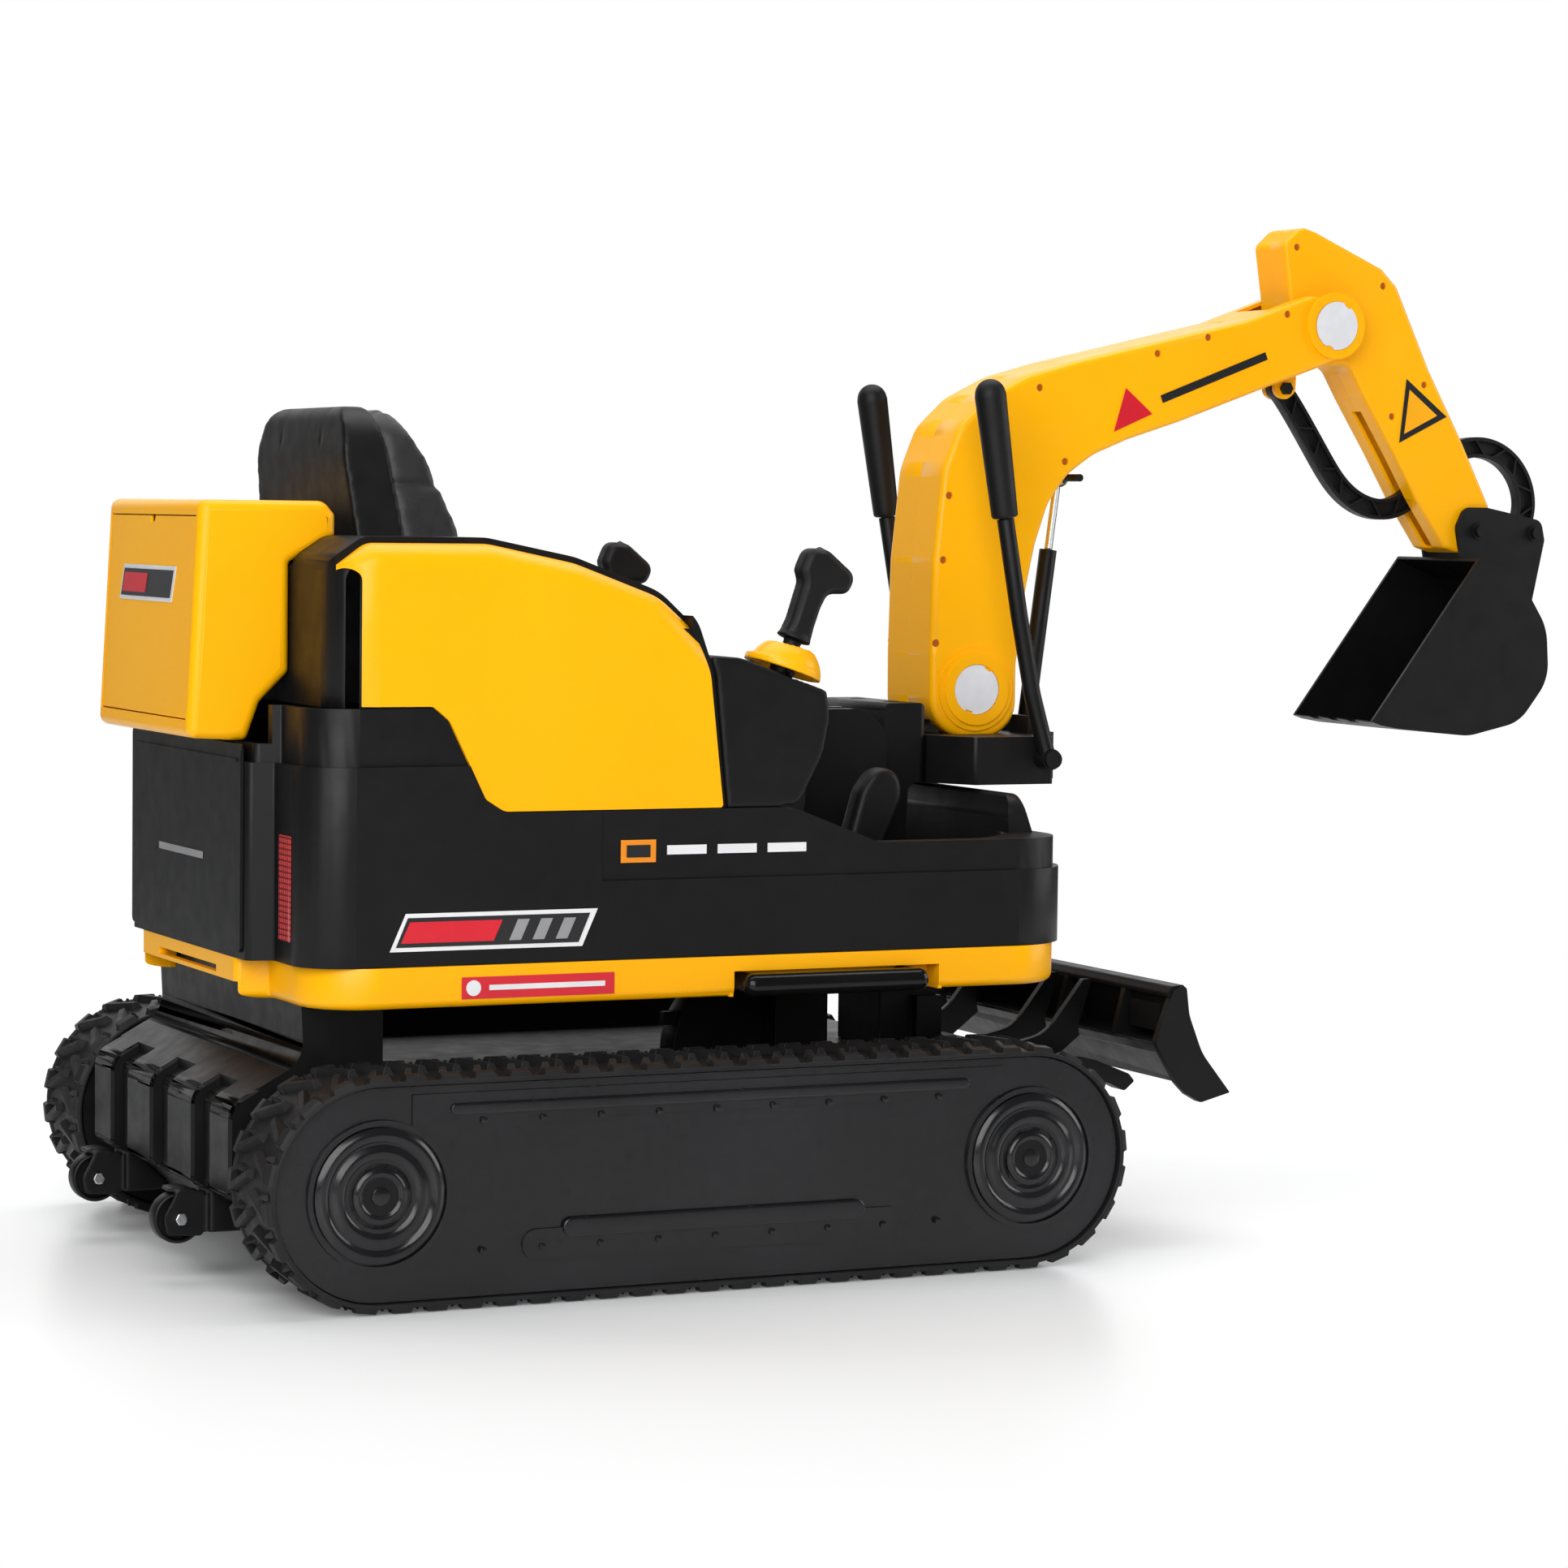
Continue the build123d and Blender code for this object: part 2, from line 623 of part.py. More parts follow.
def make_lights():
    out = []
    for sy in (-1, 1):
        outer = plan(body_plan(BODY_X0 - 1.5, BODY_X1, BODY_W + 1.5, 0.01, 60, 75, 56), *LIGHT_Z)
        inner = plan(body_plan(BODY_X0 - 0.3, BODY_X1, BODY_W + 0.3, 0.01, 60, 75, 55), LIGHT_Z[0] - 1,
                     LIGHT_Z[1] + 1)
        shell = outer - inner
        y0 = sy * 206.0
        y1 = sy * 238.0
        piece = shell & block(BODY_X0 - 10, BODY_X0 + 40, min(y0, y1), max(y0, y1), *LIGHT_Z)
        out.append(piece)
    return solids(*out)


save(make_pan(), "base_pan")
save(make_steps(), "side_steps")
save(make_lower_body(), "lower_body")
save(make_rear_panel(), "rear_panel")
save(make_lights(), "tail_lights")


# ------------------------------------------------------------------ upper body and side panels
PANEL_TOP = [(-352, 694), (-322, 716, 22), (-200, 716, 60), (-110, 698, 80), (-22, 666, 60), (8, 640)]
PANEL_REST = [(26, 592, 60), (41, 461, 3), (-189, 461, 16), (-208, 473, 12), (-245, 548, 14), (-262, 562, 8),
              (-352, 562, 8)]
PANEL_FACE = UPPER_W + 1 + PANEL_T     # half width over the side panels
SHOULDER_R = 24.0
SHOULDER_Y = PANEL_FACE - SHOULDER_R - 3.5


def shouldered(points, y):
    """Side block out to -y whose long top edge is rounded over."""
    body = slab(xz(points), -y, -200)
    edges = [e for e in body.edges().group_by(Axis.Y)[0] if e.center().Z > 641 and e.center().X < 8]
    return fillet(edges, SHOULDER_R)


def raised(points, d):
    """The same points moved up by d."""
    return [(p[0], p[1] + d, *p[2:]) for p in points]


def make_side_panel():
    outer = shouldered(PANEL_TOP + PANEL_REST, PANEL_FACE)
    beyond = [(60, 630), (60, 440), (-380, 440), (-380, 690)]
    inner = slab(xz(raised(PANEL_TOP, -PANEL_T) + beyond), -UPPER_W - 1.3, -100)
    edges = [e for e in inner.edges().group_by(Axis.Y)[0] if e.center().Z > 641 - PANEL_T and e.center().X < 8]
    inner = fillet(edges, SHOULDER_R - PANEL_T)
    panel = outer - inner - block(-500, 200, -SHOULDER_Y, 0, 400, 800)
    panel = panel - block(7.9, 60, -UPPER_W - 1.3, -100, 600, 700)
    corner = plan(Rectangle(3000, 3000) - xz([(-352, -PANEL_FACE, 38), (90, -PANEL_FACE), (90, 400), (-352, 400)]),
                  300, 900)
    return panel - corner


def shoulder_core():
    """Body under the side panel: the panel's inner face, 0.3 mm further in."""
    inner = slab(xz(raised(PANEL_TOP, -PANEL_T - 0.3) + [(60, 630), (60, 440), (-380, 440), (-380, 690)]),
                 -UPPER_W - 1.0, -100)
    edges = [e for e in inner.edges().group_by(Axis.Y)[0] if e.center().Z > 641 - PANEL_T and e.center().X < 8]
    return fillet(edges, SHOULDER_R - PANEL_T)


def make_upper_body():
    rim_face = xz([
        (UPPER_X0, REAR_LEDGE_Z + 0.3), (UPPER_X0, 700, 20), (-324, 722, 22), (-199, 722, 60), (-107, 704, 80),
        (-17, 671, 60), (14, 643, 40), (32, 593, 60), (46, SILL_Z + 0.3), (-189, SILL_Z + 0.3, 17),
        (-208, 472.3, 12), (-245, 547.3, 14), (-262, REAR_LEDGE_Z + 0.3, 8),
    ])
    body = slab(rim_face, -UPPER_W - 1, UPPER_W + 1)
    below = slab(xz(raised(PANEL_TOP, -PANEL_T - 0.3) + [(8, 400), (-352, 400)]), -400, -SHOULDER_Y + 0.3)
    strip = slab(xz([(-352.3, 400), (8.3, 400), (8.3, 800), (-352.3, 800)]), -400, -SHOULDER_Y + 0.3)
    cut = strip - (below & shoulder_core())
    body = body - cut - mirror_y(cut)
    body = body & plan(xz([(UPPER_X0, -UPPER_W - 1, 45), (60, -UPPER_W - 1), (60, UPPER_W + 1),
                           (UPPER_X0, UPPER_W + 1, 45)]), 300, 800)
    # seat well between the arms, and the space under them
    well = slab(xz([(-290, SEAT_Z), (80, SEAT_Z), (80, 800), (-290, 800)]), -SEAT_W, SEAT_W)
    body = body - well
    under = slab(xz([(-350, 300), (80, 300), (80, SEAT_Z - 6), (-350, SEAT_Z - 6)]), -SEAT_W - 4, SEAT_W + 4)
    behind_seat = slab(xz([(-350, 300), (-296, 300), (-296, 714), (-309, 711), (-345, 693), (-350, 684)]),
                       -SEAT_W - 4, SEAT_W + 4)
    body = body - under - behind_seat
    for sy in (-1, 1):
        arm = slab(xz([(-344, 400), (-344, 690, 20), (-318, 708, 22), (-203, 708, 60), (-112, 690, 80),
                       (-24, 657, 60), (0, 634, 40), (18, 588, 60), (32, 450), (-183, 450), (-240, 556),
                       (-264, 572)]),
                   min(sy * (SEAT_W + 4), sy * (UPPER_W - 4)), max(sy * (SEAT_W + 4), sy * (UPPER_W - 4)))
        body = body - arm
    # pocket for the storage box
    pocket = slab(xz([(-400, 693), (-357, 693), (-343, 701.5), (-309, 719.5), (-309, 800), (-400, 800)]),
                  -BOX_W - 0.4, BOX_W + 0.4)
    return body - pocket


save(make_upper_body(), "upper_body")
both(make_side_panel(), "side_panel")


# ------------------------------------------------------------------ storage box and its door
BOX_SIDE = [
    (-448, 755, 10), (-322, 755, 14), (-311, 742, 6), (-311, 721, 5), (-343, 703, 6), (-357.6, 696, 6),
    (-357.6, 590, 10), (-386.5, 561, 6), (-400, 524, 6), (-460, 527, 10),
]


def rear_x(z):
    """Rear face of the storage box, which leans outward towards the bottom."""
    return -448.0 - DOOR_LEAN * (755.0 - z)


def make_box():
    body = slab(xz(BOX_SIDE), -BOX_W, BOX_W)
    body = fillet(body.edges().group_by(Axis.Y)[0] + body.edges().group_by(Axis.Y)[-1], BOX_EDGE_R)
    inner = slab(
        xz([(-470, 750), (-323, 750, 8), (-316, 741, 4), (-316, 724, 4), (-346, 707, 4), (-362, 698, 6),
            (-362, 592, 10), (-391, 563, 6), (-403, 532, 4), (-440, 532, 4), (-470, 532)]),
        -BOX_W + BOX_T, BOX_W - BOX_T,
    )
    inner = inner & slab(xz([(rear_x(760) + BOX_T, 760), (rear_x(500) + BOX_T, 500), (-200, 500), (-200, 760)]),
                         -BOX_W, BOX_W)
    body = body - inner
    hole = block(-480, -430, -DOOR_W - GAP, DOOR_W + GAP, DOOR_Z0 - GAP, DOOR_Z1 + GAP)
    return body - hole


def door_hinge():
    """Hinge axis: the middle of the door's rounded lower edge."""
    z = DOOR_Z0 + DOOR_T / 2
    return rear_x(z) + DOOR_GAP + DOOR_T / 2, z


def make_door():
    x, z = door_hinge()
    lean = degrees(atan2(DOOR_LEAN, 1.0))
    height = DOOR_Z1 - z
    plate = Pos(0, height / 2) * Rectangle(DOOR_T, height) + Circle(DOOR_T / 2)
    door = slab(Pos(x, z) * Rot(0, 0, -lean) * plate, -DOOR_W, DOOR_W)
    notch = Plane.YZ.offset(-480) * (Pos(0, DOOR_Z1) * Circle(NOTCH_R))
    door = door - extrude(notch, amount=80)
    # stiffening ribs on the inside, near both edges
    rib = Pos(3.0, height / 2) * Rectangle(5, height - 40)
    for y0 in (-DOOR_W + 14, DOOR_W - 18):
        door = door + slab(Pos(x, z) * Rot(0, 0, -lean) * rib, y0, y0 + 4)
    return door


save(make_box(), "storage_box")
save(make_door(), "box_door")


# ------------------------------------------------------------------ seat
BACK_W = 150.0


def make_seat_base():
    body = slab(
        xz([(-286, SEAT_Z + 0.3), (36, SEAT_Z + 0.3), (36, SEAT_Z + 8, 4), (20, SEAT_Z + 30, 12),
            (-60, SEAT_Z + 34, 60), (-190, SEAT_Z + 28, 40), (-236, SEAT_Z + 34, 20), (-286, SEAT_Z + 34)]),
        -SEAT_W + 0.6, SEAT_W - 0.6,
    )
    hollow = slab(
        xz([(-280, SEAT_Z - 1), (30, SEAT_Z - 1), (30, SEAT_Z + 4), (16, SEAT_Z + 24, 10), (-60, SEAT_Z + 28, 60),
            (-190, SEAT_Z + 22, 40), (-236, SEAT_Z + 28, 16), (-280, SEAT_Z + 28)]),
        -SEAT_W + 6, SEAT_W - 6,
    )
    return body - hollow


def back_profile(points, w, r):
    """Rounded-top backrest outline crossed with its side profile."""
    side = slab(xz(points), -w - 10, w + 10)
    outline = Plane.YZ.offset(-400) * xz([(-w, 480), (w, 480), (w, 700, 60), (w - 26, 848, r), (-w + 26, 848, r),
                                          (-w, 700, 60)])
    return side & extrude(outline, amount=400)


def make_back_shell():
    shell = back_profile(
        [(-287, 561), (-287, 700, 60), (-298, 800, 60), (-292, 849, 18), (-262, 849, 6), (-252, 805, 60),
         (-236, 700, 80), (-230, 561)],
        BACK_W, 50,
    )
    shell = shell + block(-286, -231, -BACK_W + 30, BACK_W - 30, SEAT_Z + 34.3, 570)
    hollow = back_profile(
        [(-281, 572), (-281, 700, 60), (-292, 800, 50), (-284, 838, 8), (-230, 838), (-200, 700), (-200, 572)],
        BACK_W - 8, 44,
    )
    shell = shell - hollow
    for y in (-59.0, 59.0):
        slot = Plane.YZ.offset(-310) * (Pos(y, 820) * Rot(0, 0, 90) * SlotOverall(18, 5))
        shell = shell - extrude(slot, amount=40)
    return shell


def make_back_pad(shell):
    pad = back_profile(
        [(-280, 573), (-280, 700, 60), (-291, 800, 50), (-283, 836, 8), (-254, 843, 12), (-240, 834, 14),
         (-214, 800, 50), (-184, 730, 80), (-170, 640, 60), (-172, 562, 20), (-229, 562)],
        BACK_W - 9, 42,
    )
    lip = back_profile(
        [(-250, 812), (-251, 852, 6), (-236, 838, 16), (-212, 800, 50), (-182, 730, 80), (-168, 640, 60),
         (-170, 562, 20), (-229.5, 562), (-235.4, 700, 80), (-250, 800, 30)],
        BACK_W - 2, 48,
    )
    return pad + lip - shell


def make_cushion():
    c = slab(
        xz([(-168, SEAT_Z + 31.5), (18, SEAT_Z + 33, 2), (12, SEAT_Z + 52, 14), (-60, SEAT_Z + 58, 60),
            (-150, SEAT_Z + 56, 16), (-168, SEAT_Z + 50, 8)]),
        -SEAT_W + 16, SEAT_W - 16,
    )
    under = slab(
        xz([(-300, SEAT_Z), (36, SEAT_Z), (36, SEAT_Z + 8.3, 4), (20, SEAT_Z + 30.3, 12), (-60, SEAT_Z + 34.3, 60),
            (-190, SEAT_Z + 28.3, 40), (-236, SEAT_Z + 50.3, 20), (-286, SEAT_Z + 60.3)]),
        -SEAT_W, SEAT_W,
    )
    return c - under


save(make_seat_base(), "seat_base")
back_shell = make_back_shell()
save(back_shell, "backrest_shell")
save(make_back_pad(back_shell), "backrest_pad")
save(make_cushion(), "seat_cushion")


# ------------------------------------------------------------------ joystick pods
def make_pod():
    face = xz([
        (46.6, SILL_Z + 0.3), (32.8, 594, 40), (25, 610, 8), (60, 607, 20), (98, 594), (154, 574, 6),
        (157, 548, 20), (150, 512, 60), (124, 462, 20), (100, SILL_Z + 0.3),
    ])
    body = slab(face, -285, -206)
    x, z = JOY_PIVOT
    cup = Pos(x, -JOY_Y, z) * Sphere(DOME_R - 8.5)
    hollow = slab(xz([(53, SILL_Z - 5), (42, 545), (146, 545, 6), (143, 512, 50), (117, 466, 16), (95, SILL_Z - 5)]),
                  -280, -211)
    return body - cup - hollow


def make_dome():
    x, z = JOY_PIVOT
    ball = Pos(x, -JOY_Y, z - 6) * Sphere(DOME_R - 3)
    ball = ball - Pos(x, -JOY_Y, z - 6) * Sphere(DOME_R - 7)
    skirt = Pos(x, -JOY_Y, z + 3) * Rot(0, DOME_LEAN, 0) * Cylinder(DOME_R - 2, 7)
    skirt = skirt - Pos(x, -JOY_Y, z - 6) * Sphere(DOME_R - 7)
    cap = ball + skirt
    tilt = Pos(x, -JOY_Y, z - 1) * Rot(0, DOME_LEAN, 0) * Pos(0, 0, 50) * Box(160, 160, 100)
    cap = cap & tilt
    mouth = Pos(x, -JOY_Y, z) * Rot(0, JOY_LEAN, 0) * Pos(0, 0, 35) * Cylinder(DOME_MOUTH_R, 40)
    return cap - mouth


def make_joystick():
    stem = Sphere(13) + Pos(0, 0, 16) * Cylinder(9, 34) + disc(0, 0, TILT_PIN_R, -17, 17)
    boot = Pos(0, 0, 33) * Cylinder(17.5, 3) + Pos(0, 0, 39) * Cone(16.5, 12, 10)
    # tapered grip with finger waists, then a forward-leaning head
    grip = Plane.XZ * xz([
        (-14, 36), (-12.5, 50, 14), (-13.5, 70, 20), (-14.5, 88, 12), (-22, 98, 8), (-21, 122, 12), (0, 127, 16),
        (38, 114, 12), (36, 94, 10), (15, 86, 10), (13, 70, 20), (13.5, 50, 14), (15, 36),
    ])
    body = extrude(grip, amount=14, both=True)
    body = chamfer(body.edges().group_by(Axis.Y)[0] + body.edges().group_by(Axis.Y)[-1], 5.5)
    button = Pos(-4, 0, 123) * Rot(0, 12, 0) * Cylinder(5, 8)
    x, z = JOY_PIVOT
    return Pos(x, -JOY_Y, z) * Rot(0, JOY_LEAN, 0) * (stem + boot + body + button)


dome = make_dome()
pod = make_pod() - dome
save(solids(pod, mirror_y(pod)), "joystick_pods")
save(solids(dome, mirror_y(dome)), "dome_collars")
both(make_joystick(), "joystick")


# ------------------------------------------------------------------ console, tower and arm bracket
CONSOLE_W = 84.0
TOWER_HALF = 74.0
BLOCK_Z0 = 467.0
BLOCK_Z1 = 517.0
BUTTON_X = 285.0
BUTTON_Y = -30.0
BUTTON_R = 9.0


def make_console():
    body = slab(
        xz([(214, FLOOR_Z + 0.3, 4), (232, 500, 30), (238, 546, 8), (322, 546, 42), (322, FLOOR_Z + 0.3)]),
        -CONSOLE_W, CONSOLE_W,
    )
    body = body & plan(xz([(200, -CONSOLE_W, 20), (322, -CONSOLE_W, 1), (322, CONSOLE_W, 1),
                           (200, CONSOLE_W, 20)]), 300, 600)
    body = body - slab(xz([(226, 300), (242, 500), (246, 539), (316, 539, 36), (316, 300)]),
                       -CONSOLE_W + 5, CONSOLE_W - 5)
    body = body - block(250, 312, -70, -4, 544, 548)
    body = body + Pos(BUTTON_X, 34, 548) * (Cylinder(13, 5.4) - Cylinder(9, 8))
    body = body - Pos(BUTTON_X, BUTTON_Y, 540) * Cylinder(BUTTON_R + 0.4, 30)
    body = body + Pos(BUTTON_X, BUTTON_Y, 535) * (Cylinder(BUTTON_R + 4, 16) - Cylinder(BUTTON_R + 0.4, 16))
    return body


def make_button():
    return Pos(BUTTON_X, BUTTON_Y, 541) * Cylinder(BUTTON_R, 10)


def make_tower():
    body = slab(
        xz([(322.3, FLOOR_Z + 0.3), (322.3, 551, 8), (372, 551, 8), (373, 468, 1), (352, 467, 30),
            (346, FLOOR_Z + 0.3)]),
        -TOWER_HALF, TOWER_HALF,
    )
    body = body & plan(xz([(322.3, -TOWER_HALF), (373, -TOWER_HALF, 8), (373, TOWER_HALF, 8),
                           (322.3, TOWER_HALF)]), 300, 600)
    for y in (-40.0, 40.0):
        body = body - Pos(348, y, 551) * Cylinder(9, 12)
    return body - block(328, 341, -TOWER_HALF + 6, TOWER_HALF - 6, FLOOR_Z - 1, 538)


def make_bracket():
    outline = xz([
        (373.4, -TOWER_HALF, 1), (404, -126, 6), (497, -126, 4), (500, -80, 4), (545, -40, 8),
        (545, 40, 8), (500, 80, 4), (497, 126, 4), (404, 126, 6), (373.4, TOWER_HALF, 1),
    ])
    body = plan(outline, BLOCK_Z0, BLOCK_Z1)
    # pocket in which the foot of the boom swings, and the lug it turns on
    pocket = disc(BOOM_PIVOT[0], BOOM_PIVOT[1], 57.5, -62, 62)
    body = body - pocket
    x, z = BOOM_PIVOT
    lug = slab(xz([(x - 34, BLOCK_Z0 + 2), (x - 26, z + 8, 26), (x, z + 34, 30), (x + 26, z + 8, 26),
                   (x + 34, BLOCK_Z0 + 2)]), -30, 30)
    body = body + lug - disc(x, z, PIN_R + RUN_FIT, -70, 70)
    nose = slab(xz([(506, 500), (506, 530, 8), (544, 530, 8), (544, 500)]), -20, 20)
    fork_gap = slab(xz([(510, 484), (510, 540), (550, 540), (550, 484)]), -11, 11)
    body = body + (nose & block(506, 544, -20, 20, 500, 528)) - fork_gap
    for sy in (-1, 1):
        shoulder = block(496, 504, min(sy * 30, sy * 70), max(sy * 30, sy * 70), 510, 536)
        body = body + shoulder
    for sy in (-1, 1):
        body = body - block(410, 474, min(sy * 68, sy * 120), max(sy * 68, sy * 120), BLOCK_Z0 - 1, BLOCK_Z1 - 6)
    return body - disc(*STRUT_LOW, STRUT_PIN_R, -40, 40)


def make_guards():
    # knee guards that rise from the floor beside the console
    out = []
    for sy in (-1, 1):
        y0 = min(sy * 176, sy * 206)
        g = slab(
            xz([(196, FLOOR_Z + 0.3), (212, 400, 40), (232, 470, 30), (250, 494, 22), (276, 488, 20),
                (280, 462, 30), (256, 410, 40), (244, FLOOR_Z + 0.3)]),
            y0, y0 + 30,
        )
        g = chamfer(g.edges().group_by(Axis.Y)[0] + g.edges().group_by(Axis.Y)[-1], 5)
        out.append(g)
    return solids(*out)


save(make_console(), "console")
save(make_button(), "power_button")
save(make_tower(), "arm_tower")
save(make_bracket(), "arm_bracket")
save(make_guards(), "knee_guards")


# ------------------------------------------------------------------ boom
BOOM_OUT = [
    (388, 600, 60), (390, 700, 60), (400, 797, 60), (418, 842, 50), (452, 874, 50), (500, 898, 60),
    (560, 915, 80), (680, 943, 90), (770, 964, 60), (852, 994, 30), (922, 985, 38), (922, 938, 38),
    (878, 920, 38), (787, 888, 60), (687, 852, 90), (624, 832, 60), (582, 815, 60), (550, 793, 50),
    (527, 762, 50), (512, 718, 60), (502, 672, 60), (491.2, 590, 40), (491.2, 512.8, 51), (388.8, 512.8, 51),
]
CAP_FACE_R = 26.5
BOSS_R = 38.0
BOSS_MID_R = 44.0
BOOM_SCREWS = ((513, 885), (657, 925), (720, 944), (820, 972), (545, 807), (406, 769), (400, 701), (393, 613))


def make_boom_half():
    """Right-hand half shell, open towards the centre plane."""
    x, z = BOOM_PIVOT
    u, w = STICK_PIVOT
    face = xz(BOOM_OUT)
    shell = slab(face, -BOOM_HALF, -0.15)
    shell = fillet(shell.edges().group_by(Axis.Y)[0], BOOM_EDGE_R)
    inner = offset(face, amount=-BOOM_WALL, kind=Kind.INTERSECTION)
    shell = shell - slab(inner, -BOOM_HALF + BOOM_WALL, 1)
    # foot and fork are open where the bracket lug, the strut and the stick go in
    shell = shell - slab(xz([(396, 470), (396, 534), (398, 534), (402, 516), (478, 516), (496, 534),
                             (520, 534), (520, 470)]), -34, 1)
    shell = shell - slab(xz([(396, 480), (396, 562), (408, 562), (408, 540), (474, 540), (474, 600),
                             (540, 600), (540, 480)]), -32, 1)
    shell = shell - slab(xz([(806, 1020), (806, 975), (812, 930), (806, 900), (800, 870), (960, 870),
                             (960, 1020)]), -STICK_HALF - 1.2, 1)
    shell = shell - slab(xz([(540, 740), (620, 740), (620, 850), (560, 850)]), -14, 1)
    shell = shell + (disc(x, z, BOSS_R, -BOOM_HALF - 5, -BOOM_HALF + 1)
                     + disc(x, z, BOSS_MID_R, -BOOM_HALF - 2.5, -BOOM_HALF + 1))
    shell = shell + disc(u, w, 36.5, -BOOM_HALF - 4, -BOOM_HALF + 1)
    # bearing sleeves for both pins
    shell = shell + ring(x, z, 14, 5, -BOOM_HALF + 1, -30.6)
    shell = shell + ring(u, w, 14, 5, -BOOM_HALF + 1, -STICK_HALF - 0.6)
    for px, pz, deep in ((x, z, 5.5), (u, w, 4.5)):
        shell = shell - disc(px, pz, CAP_FACE_R + 0.4, -BOOM_HALF - 8, -BOOM_HALF + deep - 8)
    shell = shell - disc(x, z, PIN_R + RUN_FIT, -BOOM_HALF - 0.6, 1)
    shell = shell - disc(u, w, PIN_R, -BOOM_HALF - 0.6, 1)
    for px, pz in BOOM_SCREWS:
        shell = shell - disc(px, pz, 4.0, -BOOM_HALF - 2, -BOOM_HALF + 3)
    # lugs along the underside, the front one carrying the link
    return shell


def make_boom_lugs():
    out = []
    a, b = LINK_BOOM
    for sy in (-1, 1):
        y0 = min(sy * (LINK_HALF + 0.6), sy * (LINK_HALF + 7))
        y1 = max(sy * (LINK_HALF + 0.6), sy * (LINK_HALF + 7))
        lug = slab(xz([(a - 14, b + 24), (a - 13, b - 6, 10), (a, b - 14, 12), (a + 13, b - 4, 10),
                       (a + 14, b + 34)]), y0, y1)
        out.append(lug - disc(a, b, LINK_PIN_R, -40, 40))
    return out


def make_boom_caps():
    out = []
    for px, pz, f in ((*BOOM_PIVOT, -BOOM_HALF - 4.3), (*STICK_PIVOT, -BOOM_HALF - 5.3)):
        c = disc(px, pz, CAP_FACE_R, f, f + 1.8)
        for a in (58.0, 250.0):
            c = c - Pos(px, 0, pz) * slab(Rot(0, 0, a) * (Pos(CAP_FACE_R, 0) * Rectangle(5, 8)), -80, -40)
        out += [c, mirror_y(c)]
    return solids(*out)


right_boom = make_boom_half()
left_boom = mirror_y(right_boom)
lugs = make_boom_lugs()
bridge = slab(xz([(832, 904), (854, 911.7), (854, 917), (832, 909)]), -36, -9)
right_boom = right_boom + lugs[0] + bridge
left_boom = left_boom + lugs[1] + mirror_y(bridge)
save(right_boom, "boom_shell_right")
save(left_boom, "boom_shell_left")
save(make_boom_caps(), "pivot_caps")


def make_link_bolt():
    a, b = LINK_BOOM
    bolt = disc(a, b, LINK_PIN_R, -LINK_HALF - 8, LINK_HALF + 8)
    hexagon = RegularPolygon(7.5, 6)
    bolt = bolt + slab(Pos(a, b) * hexagon, -LINK_HALF - 12, -LINK_HALF - 7.2)
    return bolt + slab(Pos(a, b) * hexagon, LINK_HALF + 7.2, LINK_HALF + 12)


boom_pin = disc(*BOOM_PIVOT, PIN_R, -BOOM_HALF + 4.2, BOOM_HALF - 4.2)
stick_pin = disc(*STICK_PIVOT, PIN_R, -BOOM_HALF + 4.2, BOOM_HALF - 4.2)
strut_low_pin = disc(*STRUT_LOW, STRUT_PIN_R, -20, 20)
strut_top_pin = disc(*STRUT_TOP, STRUT_PIN_R, -BOOM_HALF + 4.3, BOOM_HALF - 4.3)
save(solids(boom_pin, strut_low_pin), "bracket_pins")
save(solids(stick_pin, strut_top_pin, make_link_bolt()), "boom_pins")


# ------------------------------------------------------------------ stick
STICK_OUT = [
    (828, 1050, 10), (850, 1070, 14), (870, 1064, 20), (956, 1027, 14), (976, 1008, 14), (985, 990, 14),
    (1021, 917, 60), (1067, 838, 60), (1106, 764, 20), (1108, 722, 22), (1068, 712, 20), (1046, 718, 8),
    (1008, 771, 60), (976, 823, 60), (936, 884, 40), (914, 921, 20), (884, 917, 40), (840, 940, 40),
    (837, 990, 20),
]
SLOT = ((944, 868), (1052, 722))
STICK_SCREWS = ((844, 1047), (957, 1008), (1014, 900), (972, 864))


def make_stick_half():
    u, w = STICK_PIVOT
    c, d = BUCKET_PIVOT
    face = xz(STICK_OUT)
    shell = slab(face, -STICK_HALF, -0.15)
    shell = fillet(shell.edges().group_by(Axis.Y)[0], STICK_EDGE_R)
    inner = offset(face, amount=-STICK_WALL, kind=Kind.INTERSECTION)
    shell = shell - slab(inner, -STICK_HALF + STICK_WALL, 1)
    (x0, z0), (x1, z1) = SLOT
    n = hypot(x1 - x0, z1 - z0)
    ax, az = (x1 - x0) / n, (z1 - z0) / n
    nx, nz = -az, ax
    cut = xz([(x0 - nx * 60, z0 - nz * 60), (x1 - nx * 60, z1 - nz * 60), (x1 + nx * 110, z1 + nz * 110),
              (x0 + nx * 110, z0 + nz * 110)])
    shell = shell - slab(cut, -SLOT_HALF, 1)
    shell = shell + ring(u, w, 14, 5, -STICK_HALF + 1, -0.15)
    shell = shell + ring(c, d, 12, 5, -STICK_HALF + 1, -0.15)
    shell = shell - disc(u, w, PIN_R + RUN_FIT, -STICK_HALF - 1, 1)
    shell = shell - disc(c, d, LINK_PIN_R + RUN_FIT + 2, -STICK_HALF - 1, 1)
    for px, pz in STICK_SCREWS:
        shell = shell - disc(px, pz, 4.0, -STICK_HALF - 2, -STICK_HALF + 3)
    return shell


both(make_stick_half(), "stick_shell")


# ------------------------------------------------------------------ link
LINK_W = 15.0


